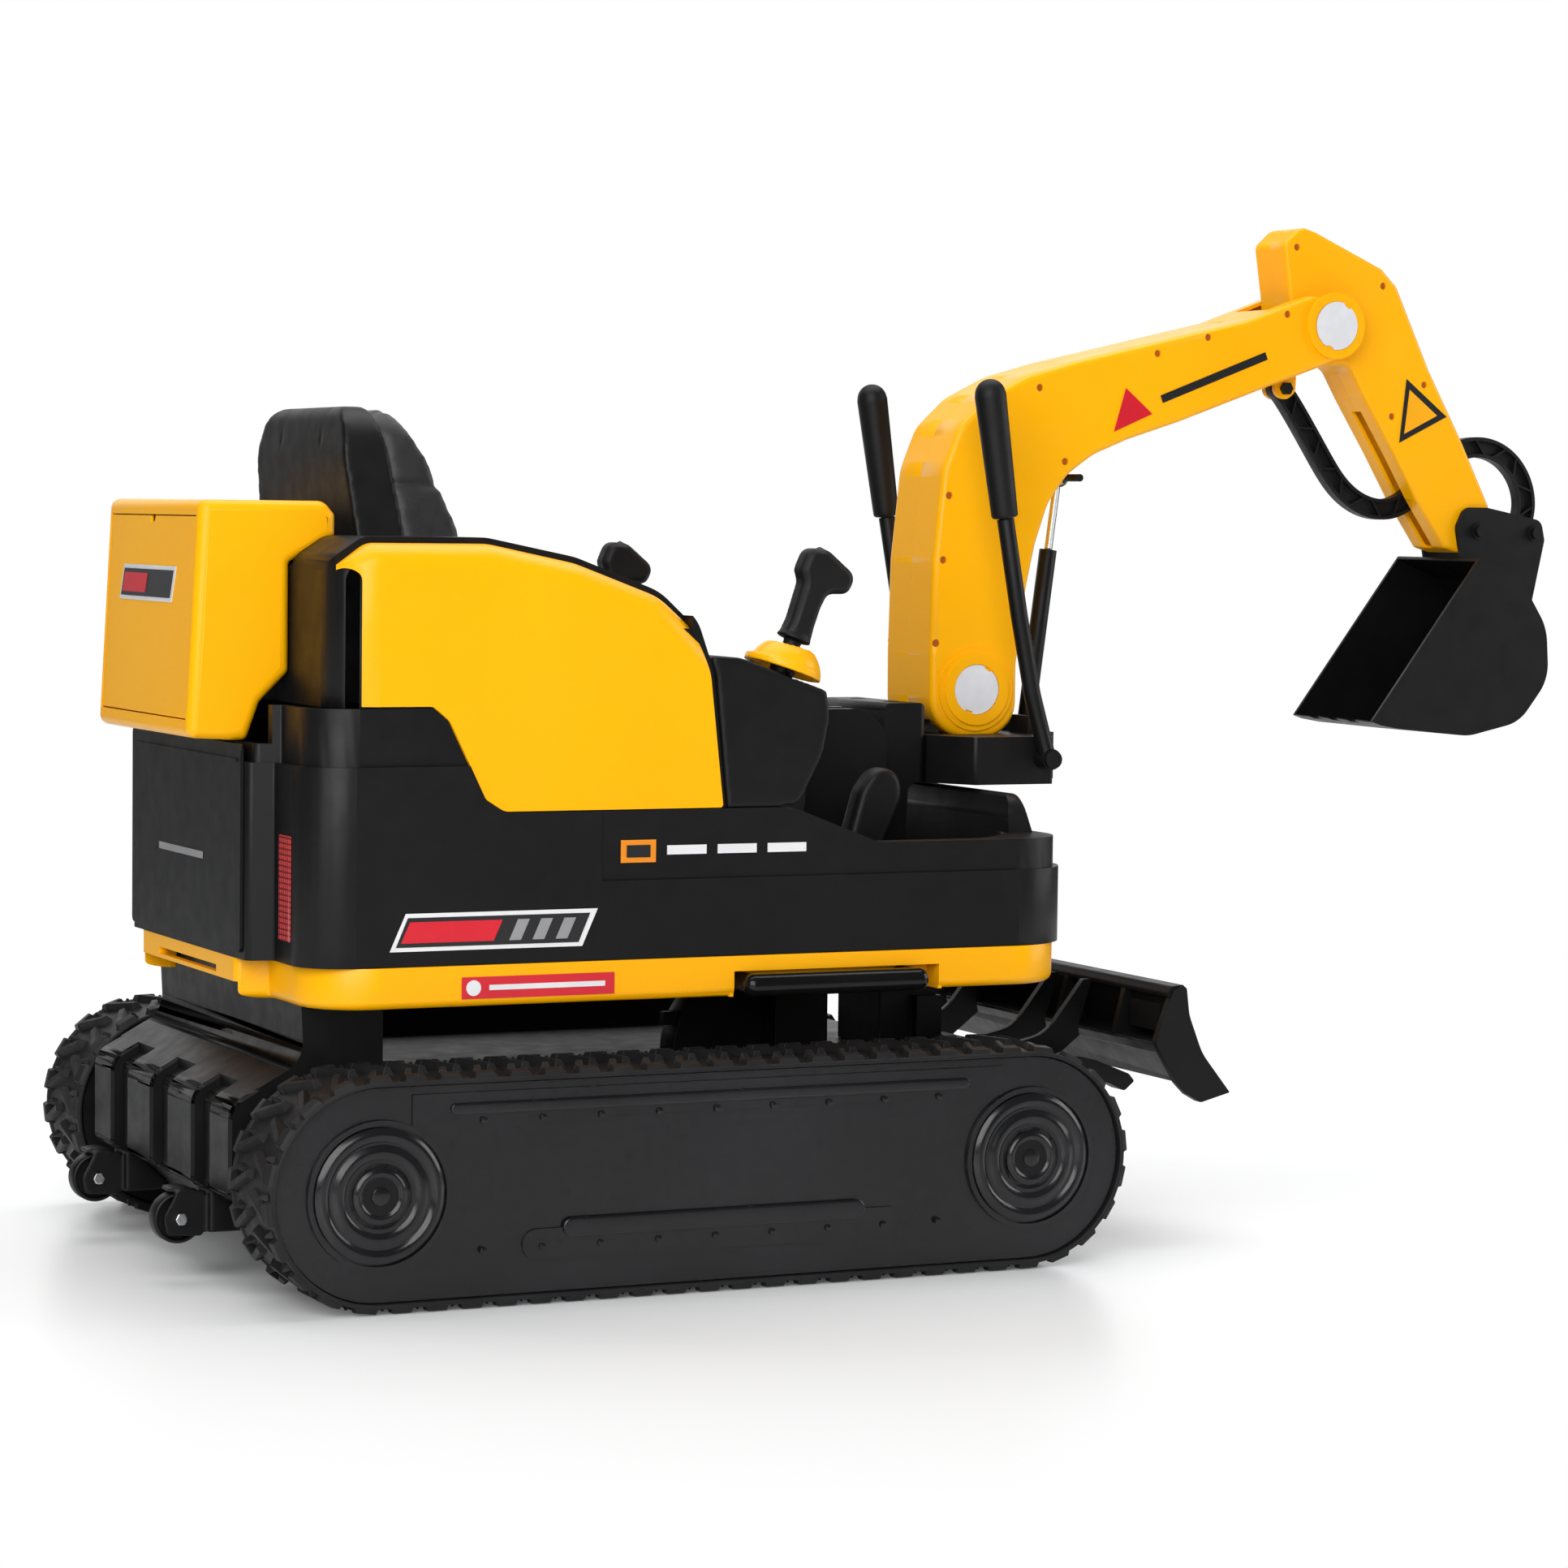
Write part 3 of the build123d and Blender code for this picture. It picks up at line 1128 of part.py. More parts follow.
def band(points, width):
    """Constant-width strip about a smooth centre line in the side view."""
    mid = Spline(*[(p[0], p[1]) for p in points])
    n = 36
    left = []
    right = []
    for i in range(n + 1):
        t = i / n
        q = mid @ t
        d = mid % t
        left.append((q.X - d.Y * width, q.Y + d.X * width))
        right.append((q.X + d.Y * width, q.Y - d.X * width))
    edges = [Spline(*left), Line(left[-1], right[-1]), Spline(*right[::-1]), Line(right[0], left[0])]
    return make_face(edges)


LINK_LINE = [
    LINK_BOOM, (872, 856), (900, 815), (926, 783), (958, 764), (992, 762), (1020, 776), (1046, 800),
    (1074, 824), (1112, 832), (1148, 818), (1170, 788), LINK_BUCKET,
]


def make_link():
    a, b = LINK_BOOM
    e, f = LINK_BUCKET
    outer = slab(band(LINK_LINE, LINK_W / 2 + 4), -LINK_HALF, LINK_HALF)
    pocket = band(LINK_LINE, LINK_W / 2)
    body = outer - slab(pocket, -LINK_HALF - 1, -1.5) - slab(pocket, 1.5, LINK_HALF + 1)
    body = body + disc(a, b, 12.5, -LINK_HALF, LINK_HALF) + disc(e, f, 14.5, -LINK_HALF, LINK_HALF)
    mid = Spline(*[(p[0], p[1]) for p in LINK_LINE])
    count = 18
    for i in range(1, count):
        p = mid @ (i / count)
        d = mid % (i / count)
        lean = 38.0 if i % 2 else -38.0
        bar = Pos(p.X, p.Y) * Rot(0, 0, degrees(atan2(d.Y, d.X)) + 90 + lean) * Rectangle(LINK_W + 7, 2.2)
        body = body + slab(bar, -LINK_HALF + 0.6, LINK_HALF - 0.6)
    body = body - disc(a, b, LINK_PIN_R + RUN_FIT, -20, 20)
    return body - disc(e, f, LINK_PIN_R + LINK_EYE_SLACK, -20, 20)


save(make_link(), "bucket_link")


# ------------------------------------------------------------------ bucket
BUCKET_OUT = [
    (922, 526, 1), (934, 522, 4), (957, 518, 30), (1050, 509, 60), (1118, 524, 50), (1156, 572, 50),
    (1152, 630, 60), (1124, 672, 20), (1116, 686, 12), (1060, 708, 3),
]


def make_bucket():
    face = xz(BUCKET_OUT)
    body = slab(face, -BUCKET_HALF, BUCKET_HALF)
    inner = xz([
        (900, 530, 1), (957, 522.5, 30), (1050, 513.5, 60), (1114, 528, 46), (1151, 574, 46), (1147, 628, 56),
        (1120, 669, 18), (1112, 682, 10), (1058, 703.5, 1), (1040, 740, 1),
    ])
    body = body - slab(inner, -BUCKET_HALF + BUCKET_T, BUCKET_HALF - BUCKET_T)
    for y in (-47.0, -9.0, 29.0):
        body = body - block(912, 929, y, y + 18, 515, 535)
    return body


def make_ears():
    c, d = BUCKET_PIVOT
    e, f = LINK_BUCKET
    out = []
    face = xz([
        (1064, 706.8), (1057, 742, 14), (1068, 764, 14), (1098, 764, 10), (1172, 750, 12), (1177, 728, 10),
        (1160, 651), (1143, 651), (1121, 686.8, 8),
    ])
    for sy in (-1, 1):
        y0 = min(sy * EAR_IN, sy * (EAR_IN + EAR_T))
        plate = slab(face, y0, y0 + EAR_T)
        plate = plate - slab(xz([(1050, 500), (1050, 690), (1116, 686.3, 12), (1124.2, 672.3, 20),
                                 (1152.3, 630.3, 60), (1152, 500)]), -60, 60)
        for px, pz in ((c, d), (e, f)):
            plate = plate + ring(px, pz, 9.5, 3, min(sy * (EAR_IN + 3), sy * (EAR_IN + 6)),
                                 max(sy * (EAR_IN + 3), sy * (EAR_IN + 6)))
            plate = plate - disc(px, pz, LINK_PIN_R, -60, 60)
        out.append(plate)
    bridge = slab(xz([(1126, 673.4), (1119, 687.2), (1122, 692), (1134, 676)]), -EAR_IN - 0.5, EAR_IN + 0.5)
    return out[0] + out[1] + bridge


def make_ear_bolts():
    out = []
    half = EAR_IN + EAR_T + 2
    for px, pz in (BUCKET_PIVOT, LINK_BUCKET):
        b = disc(px, pz, LINK_PIN_R, -half - 1, half + 1)
        b = b + disc(px, pz, 6.5, -half - 5.2, -half - 0.2) + disc(px, pz, 6.5, half + 0.2, half + 5.2)
        out.append(b)
    out[0] = out[0] + ring(*BUCKET_PIVOT, LINK_PIN_R + 2, LINK_PIN_R - 1, -STICK_HALF, STICK_HALF)
    return solids(*out)


save(make_bucket(), "bucket")
save(make_ears(), "bucket_ears")
save(make_ear_bolts(), "bucket_bolts")


# ------------------------------------------------------------------ gas strut
def make_strut():
    dx = STRUT_TOP[0] - STRUT_LOW[0]
    dz = STRUT_TOP[1] - STRUT_LOW[1]
    n = hypot(dx, dz)
    ux, uz = dx / n, dz / n
    at = lambda s: (STRUT_LOW[0] + ux * s, 0, STRUT_LOW[1] + uz * s)
    tube = rod(at(16), at(STRUT_TUBE_L), STRUT_TUBE_R)
    tube = tube - rod(at(26), at(STRUT_TUBE_L + 1), STRUT_ROD_R + RUN_FIT)
    eye = disc(*STRUT_LOW, 8.5, -6, 6)
    tube = tube + eye + rod(at(6), at(18), 5)
    tube = tube - disc(*STRUT_LOW, STRUT_PIN_R + RUN_FIT, -10, 10)
    bar = rod(at(STRUT_ROD_FROM), at(n - 6), STRUT_ROD_R)
    top = disc(*STRUT_TOP, 10.0, -6, 6)
    bar = bar + top
    return tube, bar - disc(*STRUT_TOP, STRUT_PIN_R + STRUT_EYE_SLACK, -10, 10)


tube, bar = make_strut()
save(tube, "strut_tube")
save(bar, "strut_rod")


# ------------------------------------------------------------------ levers
def make_lever():
    a, b = LEVER_PIVOT
    y = -LEVER_Y
    pts = ((a, y, b), (464, y, 562), (447, y, 645), (429, y, 745))
    path = FilletPolyline(*pts, radius=150)
    start = Plane(origin=path @ 0, z_dir=path % 0)
    body = sweep(start * Circle(LEVER_TUBE_R), path=path)
    body = body + rod((429.6, y, 741.7), (424.6, y, 769.5), 6.8)
    body = body + disc(a, b, 11, y - 9.6, y + 9.6)
    return body - disc(a, b, LEVER_BOLT_R + RUN_FIT, y - 20, y + 20)


def make_grip():
    y = -LEVER_Y
    low = (428.5, y, 746)
    high = (409, y, 874)
    d = Vector(*high) - Vector(*low)
    body = extrude(Plane(origin=low, z_dir=d) * Circle(GRIP_R), amount=d.length, taper=-1.2)
    body = body + Pos(*high) * Sphere(GRIP_R + 2.2)
    body = chamfer(body.edges().group_by(Axis.Z)[0], 2)
    return body - rod((429.6, y, 741.7), (424.2, y, 771.7), 7.0)


def make_lever_bolts():
    a, b = LEVER_PIVOT
    out = []
    for sy in (-1, 1):
        y0 = sy * 126.3
        y1 = sy * (LEVER_Y + 14)
        bolt = disc(a, b, LEVER_BOLT_R, min(y0, y1), max(y0, y1))
        head = disc(a, b, 9.5, min(sy * (LEVER_Y + 10), y1), max(sy * (LEVER_Y + 10), y1))
        out.append(bolt + head)
    return solids(*out)


both(make_lever(), "lever")
both(make_grip(), "lever_grip")
save(make_lever_bolts(), "lever_bolts")
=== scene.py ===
import math

import bmesh
import bpy
from mathutils import Matrix, Vector
from mathutils.bvhtree import BVHTree


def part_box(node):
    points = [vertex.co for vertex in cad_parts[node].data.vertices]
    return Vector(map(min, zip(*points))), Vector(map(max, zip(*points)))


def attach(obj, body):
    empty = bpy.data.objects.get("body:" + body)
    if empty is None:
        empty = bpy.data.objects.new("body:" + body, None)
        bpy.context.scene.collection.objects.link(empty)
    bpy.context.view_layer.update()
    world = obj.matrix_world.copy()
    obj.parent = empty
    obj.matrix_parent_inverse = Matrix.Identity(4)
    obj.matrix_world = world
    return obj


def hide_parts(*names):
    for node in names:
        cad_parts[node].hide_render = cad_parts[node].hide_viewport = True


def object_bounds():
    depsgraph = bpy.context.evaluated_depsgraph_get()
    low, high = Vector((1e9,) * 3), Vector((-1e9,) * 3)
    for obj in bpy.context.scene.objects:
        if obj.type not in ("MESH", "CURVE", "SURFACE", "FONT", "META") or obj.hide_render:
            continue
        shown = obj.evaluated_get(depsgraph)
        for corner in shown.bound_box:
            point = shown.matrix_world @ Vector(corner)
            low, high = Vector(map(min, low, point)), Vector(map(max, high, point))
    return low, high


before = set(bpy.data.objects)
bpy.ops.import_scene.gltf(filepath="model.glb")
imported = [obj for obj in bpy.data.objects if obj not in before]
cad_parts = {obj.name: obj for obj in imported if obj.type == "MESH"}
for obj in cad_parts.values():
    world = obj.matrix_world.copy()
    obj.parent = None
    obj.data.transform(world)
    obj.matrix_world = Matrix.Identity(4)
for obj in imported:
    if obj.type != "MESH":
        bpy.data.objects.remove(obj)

# Children's ride-on digger. Metres, +Z up, +X towards the bucket, +Y to the rider's left.
# at(x, y, z) takes millimetres measured from the middle of the track base.

CAD_LOW, CAD_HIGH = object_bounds()
RIGHT, LEFT = -1, 1
SIDES = ((RIGHT, "right"), (LEFT, "left"))


def centre(node):
    low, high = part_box(node)
    return (low + high) / 2


REAR_HUB = centre("drive_wheel_right")
FRONT_HUB = centre("idler_wheel_right")
BASE_X = (REAR_HUB.x + FRONT_HUB.x) / 2
HALF_WHEELBASE = (FRONT_HUB.x - REAR_HUB.x) / 2
HUB_Z = REAR_HUB.z


def at(x, y, z):
    return Vector((BASE_X + x / 1000, y / 1000, z / 1000))


# ------------------------------------------------------------------ camera
def make_camera():
    data = bpy.data.cameras.new("camera")
    data.lens = 100.6
    data.sensor_width = 36
    data.clip_end = 50
    camera = bpy.data.objects.new("camera", data)
    bpy.context.scene.collection.objects.link(camera)
    right = Vector((0.90285, -0.42978, 0.01229))
    up = Vector((0.01578, 0.06167, 0.99797))
    back = right.cross(up).normalized()
    turn = Matrix((right, up, back)).transposed()
    camera.matrix_world = Matrix.Translation(at(-1744.5, -4166.1, 751.9)) @ turn.to_4x4()
    bpy.context.scene.camera = camera


make_camera()


# ------------------------------------------------------------------ material tools
class Shader:
    """A Principled material and short calls for the nodes that feed it."""

    def __init__(self, name, colour, rough, **sockets):
        self.mat = bpy.data.materials.new(name)
        self.mat.use_nodes = True
        self.tree = self.mat.node_tree
        self.bsdf = self.tree.nodes["Principled BSDF"]
        self.bsdf.inputs["Base Color"].default_value = (*colour, 1)
        self.bsdf.inputs["Roughness"].default_value = rough
        for key, value in sockets.items():
            self.bsdf.inputs[key.replace("_", " ")].default_value = value
        self.coords = self.add("ShaderNodeTexCoord").outputs["Object"]
        self.bump_out = None

    def add(self, kind, **values):
        node = self.tree.nodes.new(kind)
        for key, value in values.items():
            setattr(node, key, value)
        return node

    def link(self, a, b):
        self.tree.links.new(a, b)

    def stretched(self, scale, turn=(0, 0, 0)):
        node = self.add("ShaderNodeMapping")
        node.inputs["Scale"].default_value = scale
        node.inputs["Rotation"].default_value = turn
        self.link(self.coords, node.inputs["Vector"])
        return node.outputs["Vector"]

    def noise(self, scale, detail=3.0, rough=0.5, coords=None):
        node = self.add("ShaderNodeTexNoise")
        node.inputs["Scale"].default_value = scale
        node.inputs["Detail"].default_value = detail
        node.inputs["Roughness"].default_value = rough
        self.link(coords or self.coords, node.inputs["Vector"])
        return node.outputs["Fac"]

    def cells(self, scale, feature="F1", coords=None):
        node = self.add("ShaderNodeTexVoronoi", feature=feature)
        node.inputs["Scale"].default_value = scale
        self.link(coords or self.coords, node.inputs["Vector"])
        return node.outputs["Distance"]

    def spread(self, value, low, high, out_low=0.0, out_high=1.0):
        node = self.add("ShaderNodeMapRange")
        for key, v in zip(("From Min", "From Max", "To Min", "To Max"), (low, high, out_low, out_high)):
            node.inputs[key].default_value = v
        self.link(value, node.inputs["Value"])
        return node.outputs["Result"]

    def maths(self, operation, a, b=None):
        node = self.add("ShaderNodeMath", operation=operation)
        for i, v in enumerate((a, b)):
            if isinstance(v, (int, float)):
                node.inputs[i].default_value = v
            elif v is not None:
                self.link(v, node.inputs[i])
        return node.outputs[0]

    def part(self, axis):
        node = self.add("ShaderNodeSeparateXYZ")
        self.link(self.coords, node.inputs[0])
        return node.outputs[axis]

    def mix(self, factor, a, b):
        node = self.add("ShaderNodeMix", data_type="RGBA")
        self.link(factor, node.inputs[0])
        for socket, v in ((node.inputs[6], a), (node.inputs[7], b)):
            if isinstance(v, tuple):
                socket.default_value = (*v, 1)
            else:
                self.link(v, socket)
        return node.outputs[2]

    def colour(self, socket):
        self.link(socket, self.bsdf.inputs["Base Color"])

    def roughness(self, socket):
        self.link(socket, self.bsdf.inputs["Roughness"])

    def bump(self, height, strength, distance):
        node = self.add("ShaderNodeBump")
        node.inputs["Strength"].default_value = strength
        node.inputs["Distance"].default_value = distance
        self.link(height, node.inputs["Height"])
        if self.bump_out is not None:
            self.link(self.bump_out, node.inputs["Normal"])
        self.bump_out = node.outputs["Normal"]
        self.link(self.bump_out, self.bsdf.inputs["Normal"])


def yellow_plastic():
    s = Shader("yellow_plastic", (1.0, 0.45, 0.0), 0.34, Specular_IOR_Level=0.22, Coat_Weight=0.06,
               Coat_Roughness=0.2)
    flow = s.noise(3.2, 2.0, 0.5, s.stretched((1.0, 1.0, 0.35)))
    s.colour(s.mix(s.spread(flow, 0.35, 0.7), (1.0, 0.435, 0.0), (1.0, 0.47, 0.001)))
    s.roughness(s.spread(s.noise(26.0, 4.0), 0.3, 0.7, 0.3, 0.38))
    s.bump(s.noise(420.0, 2.0), 0.12, 0.0003)
    s.bump(s.noise(38.0, 2.0), 0.16, 0.0008)
    return s.mat


def black_plastic(name="black_plastic", shade=0.0045, rough=0.44, grain=1500.0):
    s = Shader(name, (shade, shade, shade * 1.1), rough, Specular_IOR_Level=0.24)
    patch = s.noise(7.0, 3.0, 0.6)
    low = (shade * 0.85, shade * 0.85, shade * 0.95)
    high = (shade * 1.2, shade * 1.2, shade * 1.3)
    s.colour(s.mix(s.spread(patch, 0.35, 0.7), low, high))
    s.roughness(s.spread(s.noise(45.0, 4.0), 0.3, 0.7, rough - 0.04, rough + 0.06))
    s.bump(s.cells(grain), 0.18, 0.0002)
    s.bump(s.noise(60.0, 2.0), 0.08, 0.0006)
    return s.mat


def track_rubber():
    s = Shader("track_rubber", (0.008, 0.008, 0.009), 0.56, Specular_IOR_Level=0.28)
    patch = s.noise(18.0, 4.0, 0.6)
    s.colour(s.mix(s.spread(patch, 0.35, 0.72), (0.006, 0.006, 0.007), (0.013, 0.013, 0.014)))
    s.roughness(s.spread(s.noise(70.0, 4.0), 0.3, 0.7, 0.48, 0.62))
    s.bump(s.noise(900.0, 3.0), 0.25, 0.0004)
    s.bump(s.noise(120.0, 3.0), 0.15, 0.0006)
    return s.mat


def smoked_cover():
    s = Shader("smoked_cover", (0.008, 0.008, 0.009), 0.2, Specular_IOR_Level=0.4, Coat_Weight=0.15,
               Coat_Roughness=0.08)
    s.bsdf.inputs["Alpha"].default_value = 0.86
    patch = s.noise(5.0, 3.0, 0.6)
    s.colour(s.mix(s.spread(patch, 0.35, 0.7), (0.006, 0.006, 0.007), (0.012, 0.012, 0.014)))
    s.roughness(s.spread(s.noise(90.0, 5.0, 0.7), 0.35, 0.7, 0.16, 0.3))
    s.bump(s.noise(30.0, 2.0), 0.12, 0.0008)
    return s.mat


def foam_skin():
    s = Shader("seat_foam", (0.011, 0.011, 0.011), 0.5, Sheen_Weight=0.18, Sheen_Roughness=0.4)
    s.roughness(s.spread(s.noise(80.0, 4.0), 0.3, 0.7, 0.44, 0.58))
    s.bump(s.cells(850.0, "SMOOTH_F1"), 0.35, 0.0003)
    s.bump(s.noise(50.0, 3.0), 0.15, 0.001)
    return s.mat


def metal(name, colour, rough):
    s = Shader(name, colour, rough, Metallic=1.0)
    s.roughness(s.spread(s.noise(300.0, 4.0), 0.3, 0.7, rough * 0.8, rough * 1.3))
    s.bump(s.noise(700.0, 2.0), 0.08, 0.0001)
    return s.mat


def cap_plastic():
    s = Shader("cap_plastic", (0.72, 0.72, 0.75), 0.5)
    s.colour(s.mix(s.spread(s.noise(40.0, 3.0), 0.35, 0.7), (0.68, 0.68, 0.71), (0.76, 0.76, 0.79)))
    s.bump(s.noise(800.0, 3.0), 0.3, 0.0004)
    return s.mat


def red_lens():
    s = Shader("red_lens", (0.16, 0.012, 0.014), 0.18, Coat_Weight=0.5, Coat_Roughness=0.05)
    rows = s.maths("SINE", s.maths("MULTIPLY", s.part("Z"), 1150.0))
    columns = s.maths("SINE", s.maths("MULTIPLY", s.part("Y"), 1150.0))
    lines = s.maths("MINIMUM", rows, columns)
    s.colour(s.mix(s.spread(lines, -0.9, 0.0), (0.2, 0.016, 0.018), (0.75, 0.07, 0.07)))
    s.bump(lines, 0.5, 0.0004)
    return s.mat


# Thin coated film for printed stickers; also used for the painted shade in the screw wells.
def sticker(name, colour, rough=0.3):
    s = Shader(name, colour, rough, Coat_Weight=0.3, Coat_Roughness=0.12)
    dark = tuple(c * 0.9 for c in colour)
    s.colour(s.mix(s.spread(s.noise(22.0, 3.0), 0.35, 0.7), dark, colour))
    s.bump(s.noise(240.0, 2.0), 0.08, 0.0002)
    return s.mat


MATERIALS = {
    "yellow_plastic": yellow_plastic(),
    "black_plastic": black_plastic(),
    "gloss_black": black_plastic("gloss_black", 0.005, 0.16, 700.0),
    "smoked_cover": smoked_cover(),
    "track_rubber": track_rubber(),
    "grip_rubber": black_plastic("grip_rubber", 0.006, 0.5, 1100.0),
    "seat_foam": foam_skin(),
    "zinc": metal("zinc", (0.62, 0.63, 0.64), 0.3),
    "chrome_rod": metal("chrome_rod", (0.8, 0.81, 0.83), 0.12),
    "cap_plastic": cap_plastic(),
    "red_lens": red_lens(),
    "sticker_red": sticker("sticker_red", (0.68, 0.01, 0.025)),
    "sticker_white": sticker("sticker_white", (0.82, 0.82, 0.83)),
    "sticker_black": sticker("sticker_black", (0.012, 0.012, 0.013)),
    "sticker_orange": sticker("sticker_orange", (0.9, 0.28, 0.008)),
    "sticker_grey": sticker("sticker_grey", (0.3, 0.3, 0.31)),
    "sticker_yellow": sticker("sticker_yellow", (1.0, 0.43, 0.0)),
    # painted shade: a darker, browner yellow that stands for the shade inside the arm's screw wells
    "painted_well_shade": sticker("painted_well_shade", (0.42, 0.1, 0.004), 0.5),
}


# ------------------------------------------------------------------ mesh tools
def piece(name, bm, slot, body, smooth=35.0):
    """A finished object from mesh data, with its material and its body."""
    bmesh.ops.remove_doubles(bm, verts=bm.verts, dist=1e-6)
    bmesh.ops.recalc_face_normals(bm, faces=bm.faces)
    mesh = bpy.data.meshes.new(name)
    bm.to_mesh(mesh)
    bm.free()
    return dress(name, mesh, slot, body, smooth)


def dress(name, mesh, slot, body, smooth=35.0):
    obj = bpy.data.objects.new(name, mesh)
    bpy.context.scene.collection.objects.link(obj)
    mesh.materials.clear()
    mesh.materials.append(MATERIALS[slot])
    mesh.polygons.foreach_set("use_smooth", [True] * len(mesh.polygons))
    if smooth:
        mesh.set_sharp_from_angle(angle=math.radians(smooth))
    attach(obj, body)
    return obj


def add_bevel(obj, width, segments=2, angle=32.0):
    m = obj.modifiers.new("edge", "BEVEL")
    m.width = width
    m.segments = segments
    m.limit_method = "ANGLE"
    m.angle_limit = math.radians(angle)
    m.harden_normals = True
    return m


def rings(bm, loops, capped=True):
    """Skin through loops that all have the same number of points."""
    rows = [[bm.verts.new(p) for p in loop] for loop in loops]
    n = len(rows[0])
    for r0, r1 in zip(rows, rows[1:]):
        for i in range(n):
            bm.faces.new((r0[i], r0[(i + 1) % n], r1[(i + 1) % n], r1[i]))
    if capped:
        bm.faces.new(rows[0][::-1])
        bm.faces.new(rows[-1])
    return rows


# ------------------------------------------------------------------ carried-over CAD parts
FINISH = {
    "yellow_plastic": ["base_pan", "side_panel_right", "side_panel_left", "storage_box", "box_door",
                       "boom_shell_right", "boom_shell_left", "stick_shell_right", "stick_shell_left",
                       "dome_collars"],
    "black_plastic": ["lower_body", "upper_body", "rear_panel", "undercarriage", "front_columns",
                      "side_frames", "caster_forks", "drive_wheel_right", "drive_wheel_left",
                      "idler_wheel_right", "idler_wheel_left", "gearboxes", "seat_base", "backrest_shell",
                      "joystick_pods", "console", "arm_tower", "arm_bracket", "knee_guards", "dozer_blade",
                      "blade_arms", "bucket", "bucket_ears", "bucket_link", "caster_wheel_right",
                      "caster_wheel_left", "hub_caps", "power_button", "lever_right", "lever_left",
                      "strut_tube"],
    "gloss_black": ["side_steps"],
    "smoked_cover": ["track_covers"],
    "track_rubber": ["track_belt_right", "track_belt_left"],
    "grip_rubber": ["joystick_right", "joystick_left", "lever_grip_right", "lever_grip_left"],
    "seat_foam": ["seat_cushion", "backrest_pad"],
    "zinc": ["caster_bolts", "track_axles"],
    "chrome_rod": ["strut_rod"],
    "cap_plastic": ["pivot_caps"],
    "red_lens": ["tail_lights"],
}
DARK_BOLTS = ["lever_bolts", "bucket_bolts", "boom_pins", "bracket_pins"]
# moulded pieces whose edges are all round: voxel size in millimetres and smoothing passes
ROUND_MOULDED = {
    "joystick_right": (1.5, 9), "joystick_left": (1.5, 9), "knee_guards": (2.5, 9),
    "backrest_shell": (2.4, 8),
    "lever_grip_right": (1.5, 5), "lever_grip_left": (1.5, 5), "dome_collars": (1.3, 3),
    "caster_forks": (1.6, 4), "joystick_pods": (2.4, 7), "seat_base": (2.6, 6),
}


def finish_cad_parts():
    for slot, nodes in list(FINISH.items()) + [("black_plastic", DARK_BOLTS)]:
        for node in nodes:
            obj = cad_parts[node]
            obj.data.materials.clear()
            obj.data.materials.append(MATERIALS[slot])
            if node in ROUND_MOULDED:
                round_over(obj, *ROUND_MOULDED[node])
            else:
                soften(obj)


def round_over(obj, voxel, passes):
    remesh = obj.modifiers.new("even", "REMESH")
    remesh.mode = "VOXEL"
    remesh.voxel_size = voxel / 1000
    remesh.use_smooth_shade = True
    smooth = obj.modifiers.new("round", "SMOOTH")
    smooth.factor = 0.5
    smooth.iterations = passes


def soften(obj, width=0.0012):
    weld = obj.modifiers.new("weld", "WELD")
    weld.merge_threshold = 1e-5
    add_bevel(obj, width)


finish_cad_parts()


# ------------------------------------------------------------------ belts
BELT_R = 0.104
LUG_COUNT = 58
LUG_H = 0.008
BELT_T = 0.0025


def belt_length():
    return 4 * HALF_WHEELBASE + 2 * math.pi * BELT_R


def on_belt(s, lift):
    """Point (x, z) at distance s round the belt, lift above its outer face."""
    straight = 2 * HALF_WHEELBASE
    arc = math.pi * BELT_R
    s = s % belt_length()
    r = BELT_R + lift
    if s < straight:
        return BASE_X - HALF_WHEELBASE + s, HUB_Z + r
    s -= straight
    if s < arc:
        a = math.pi / 2 - s / BELT_R
        return BASE_X + HALF_WHEELBASE + r * math.cos(a), HUB_Z + r * math.sin(a)
    s -= arc
    if s < straight:
        return BASE_X + HALF_WHEELBASE - s, HUB_Z - r
    s -= straight
    a = -math.pi / 2 - s / BELT_R
    return BASE_X - HALF_WHEELBASE + r * math.cos(a), HUB_Z + r * math.sin(a)


def belt_lug(bm, place, base, top, height):
    """Block whose foot and top are outlines of (s, e), e measured in from the belt's edge."""
    low = [bm.verts.new(place(s, e, -0.001)) for s, e in base]
    high = [bm.verts.new(place(s, e, h)) for (s, e), h in zip(top, height)]
    n = len(base)
    bm.faces.new(low[::-1])
    bm.faces.new(high)
    for i in range(n):
        bm.faces.new((low[i], low[(i + 1) % n], high[(i + 1) % n], high[i]))


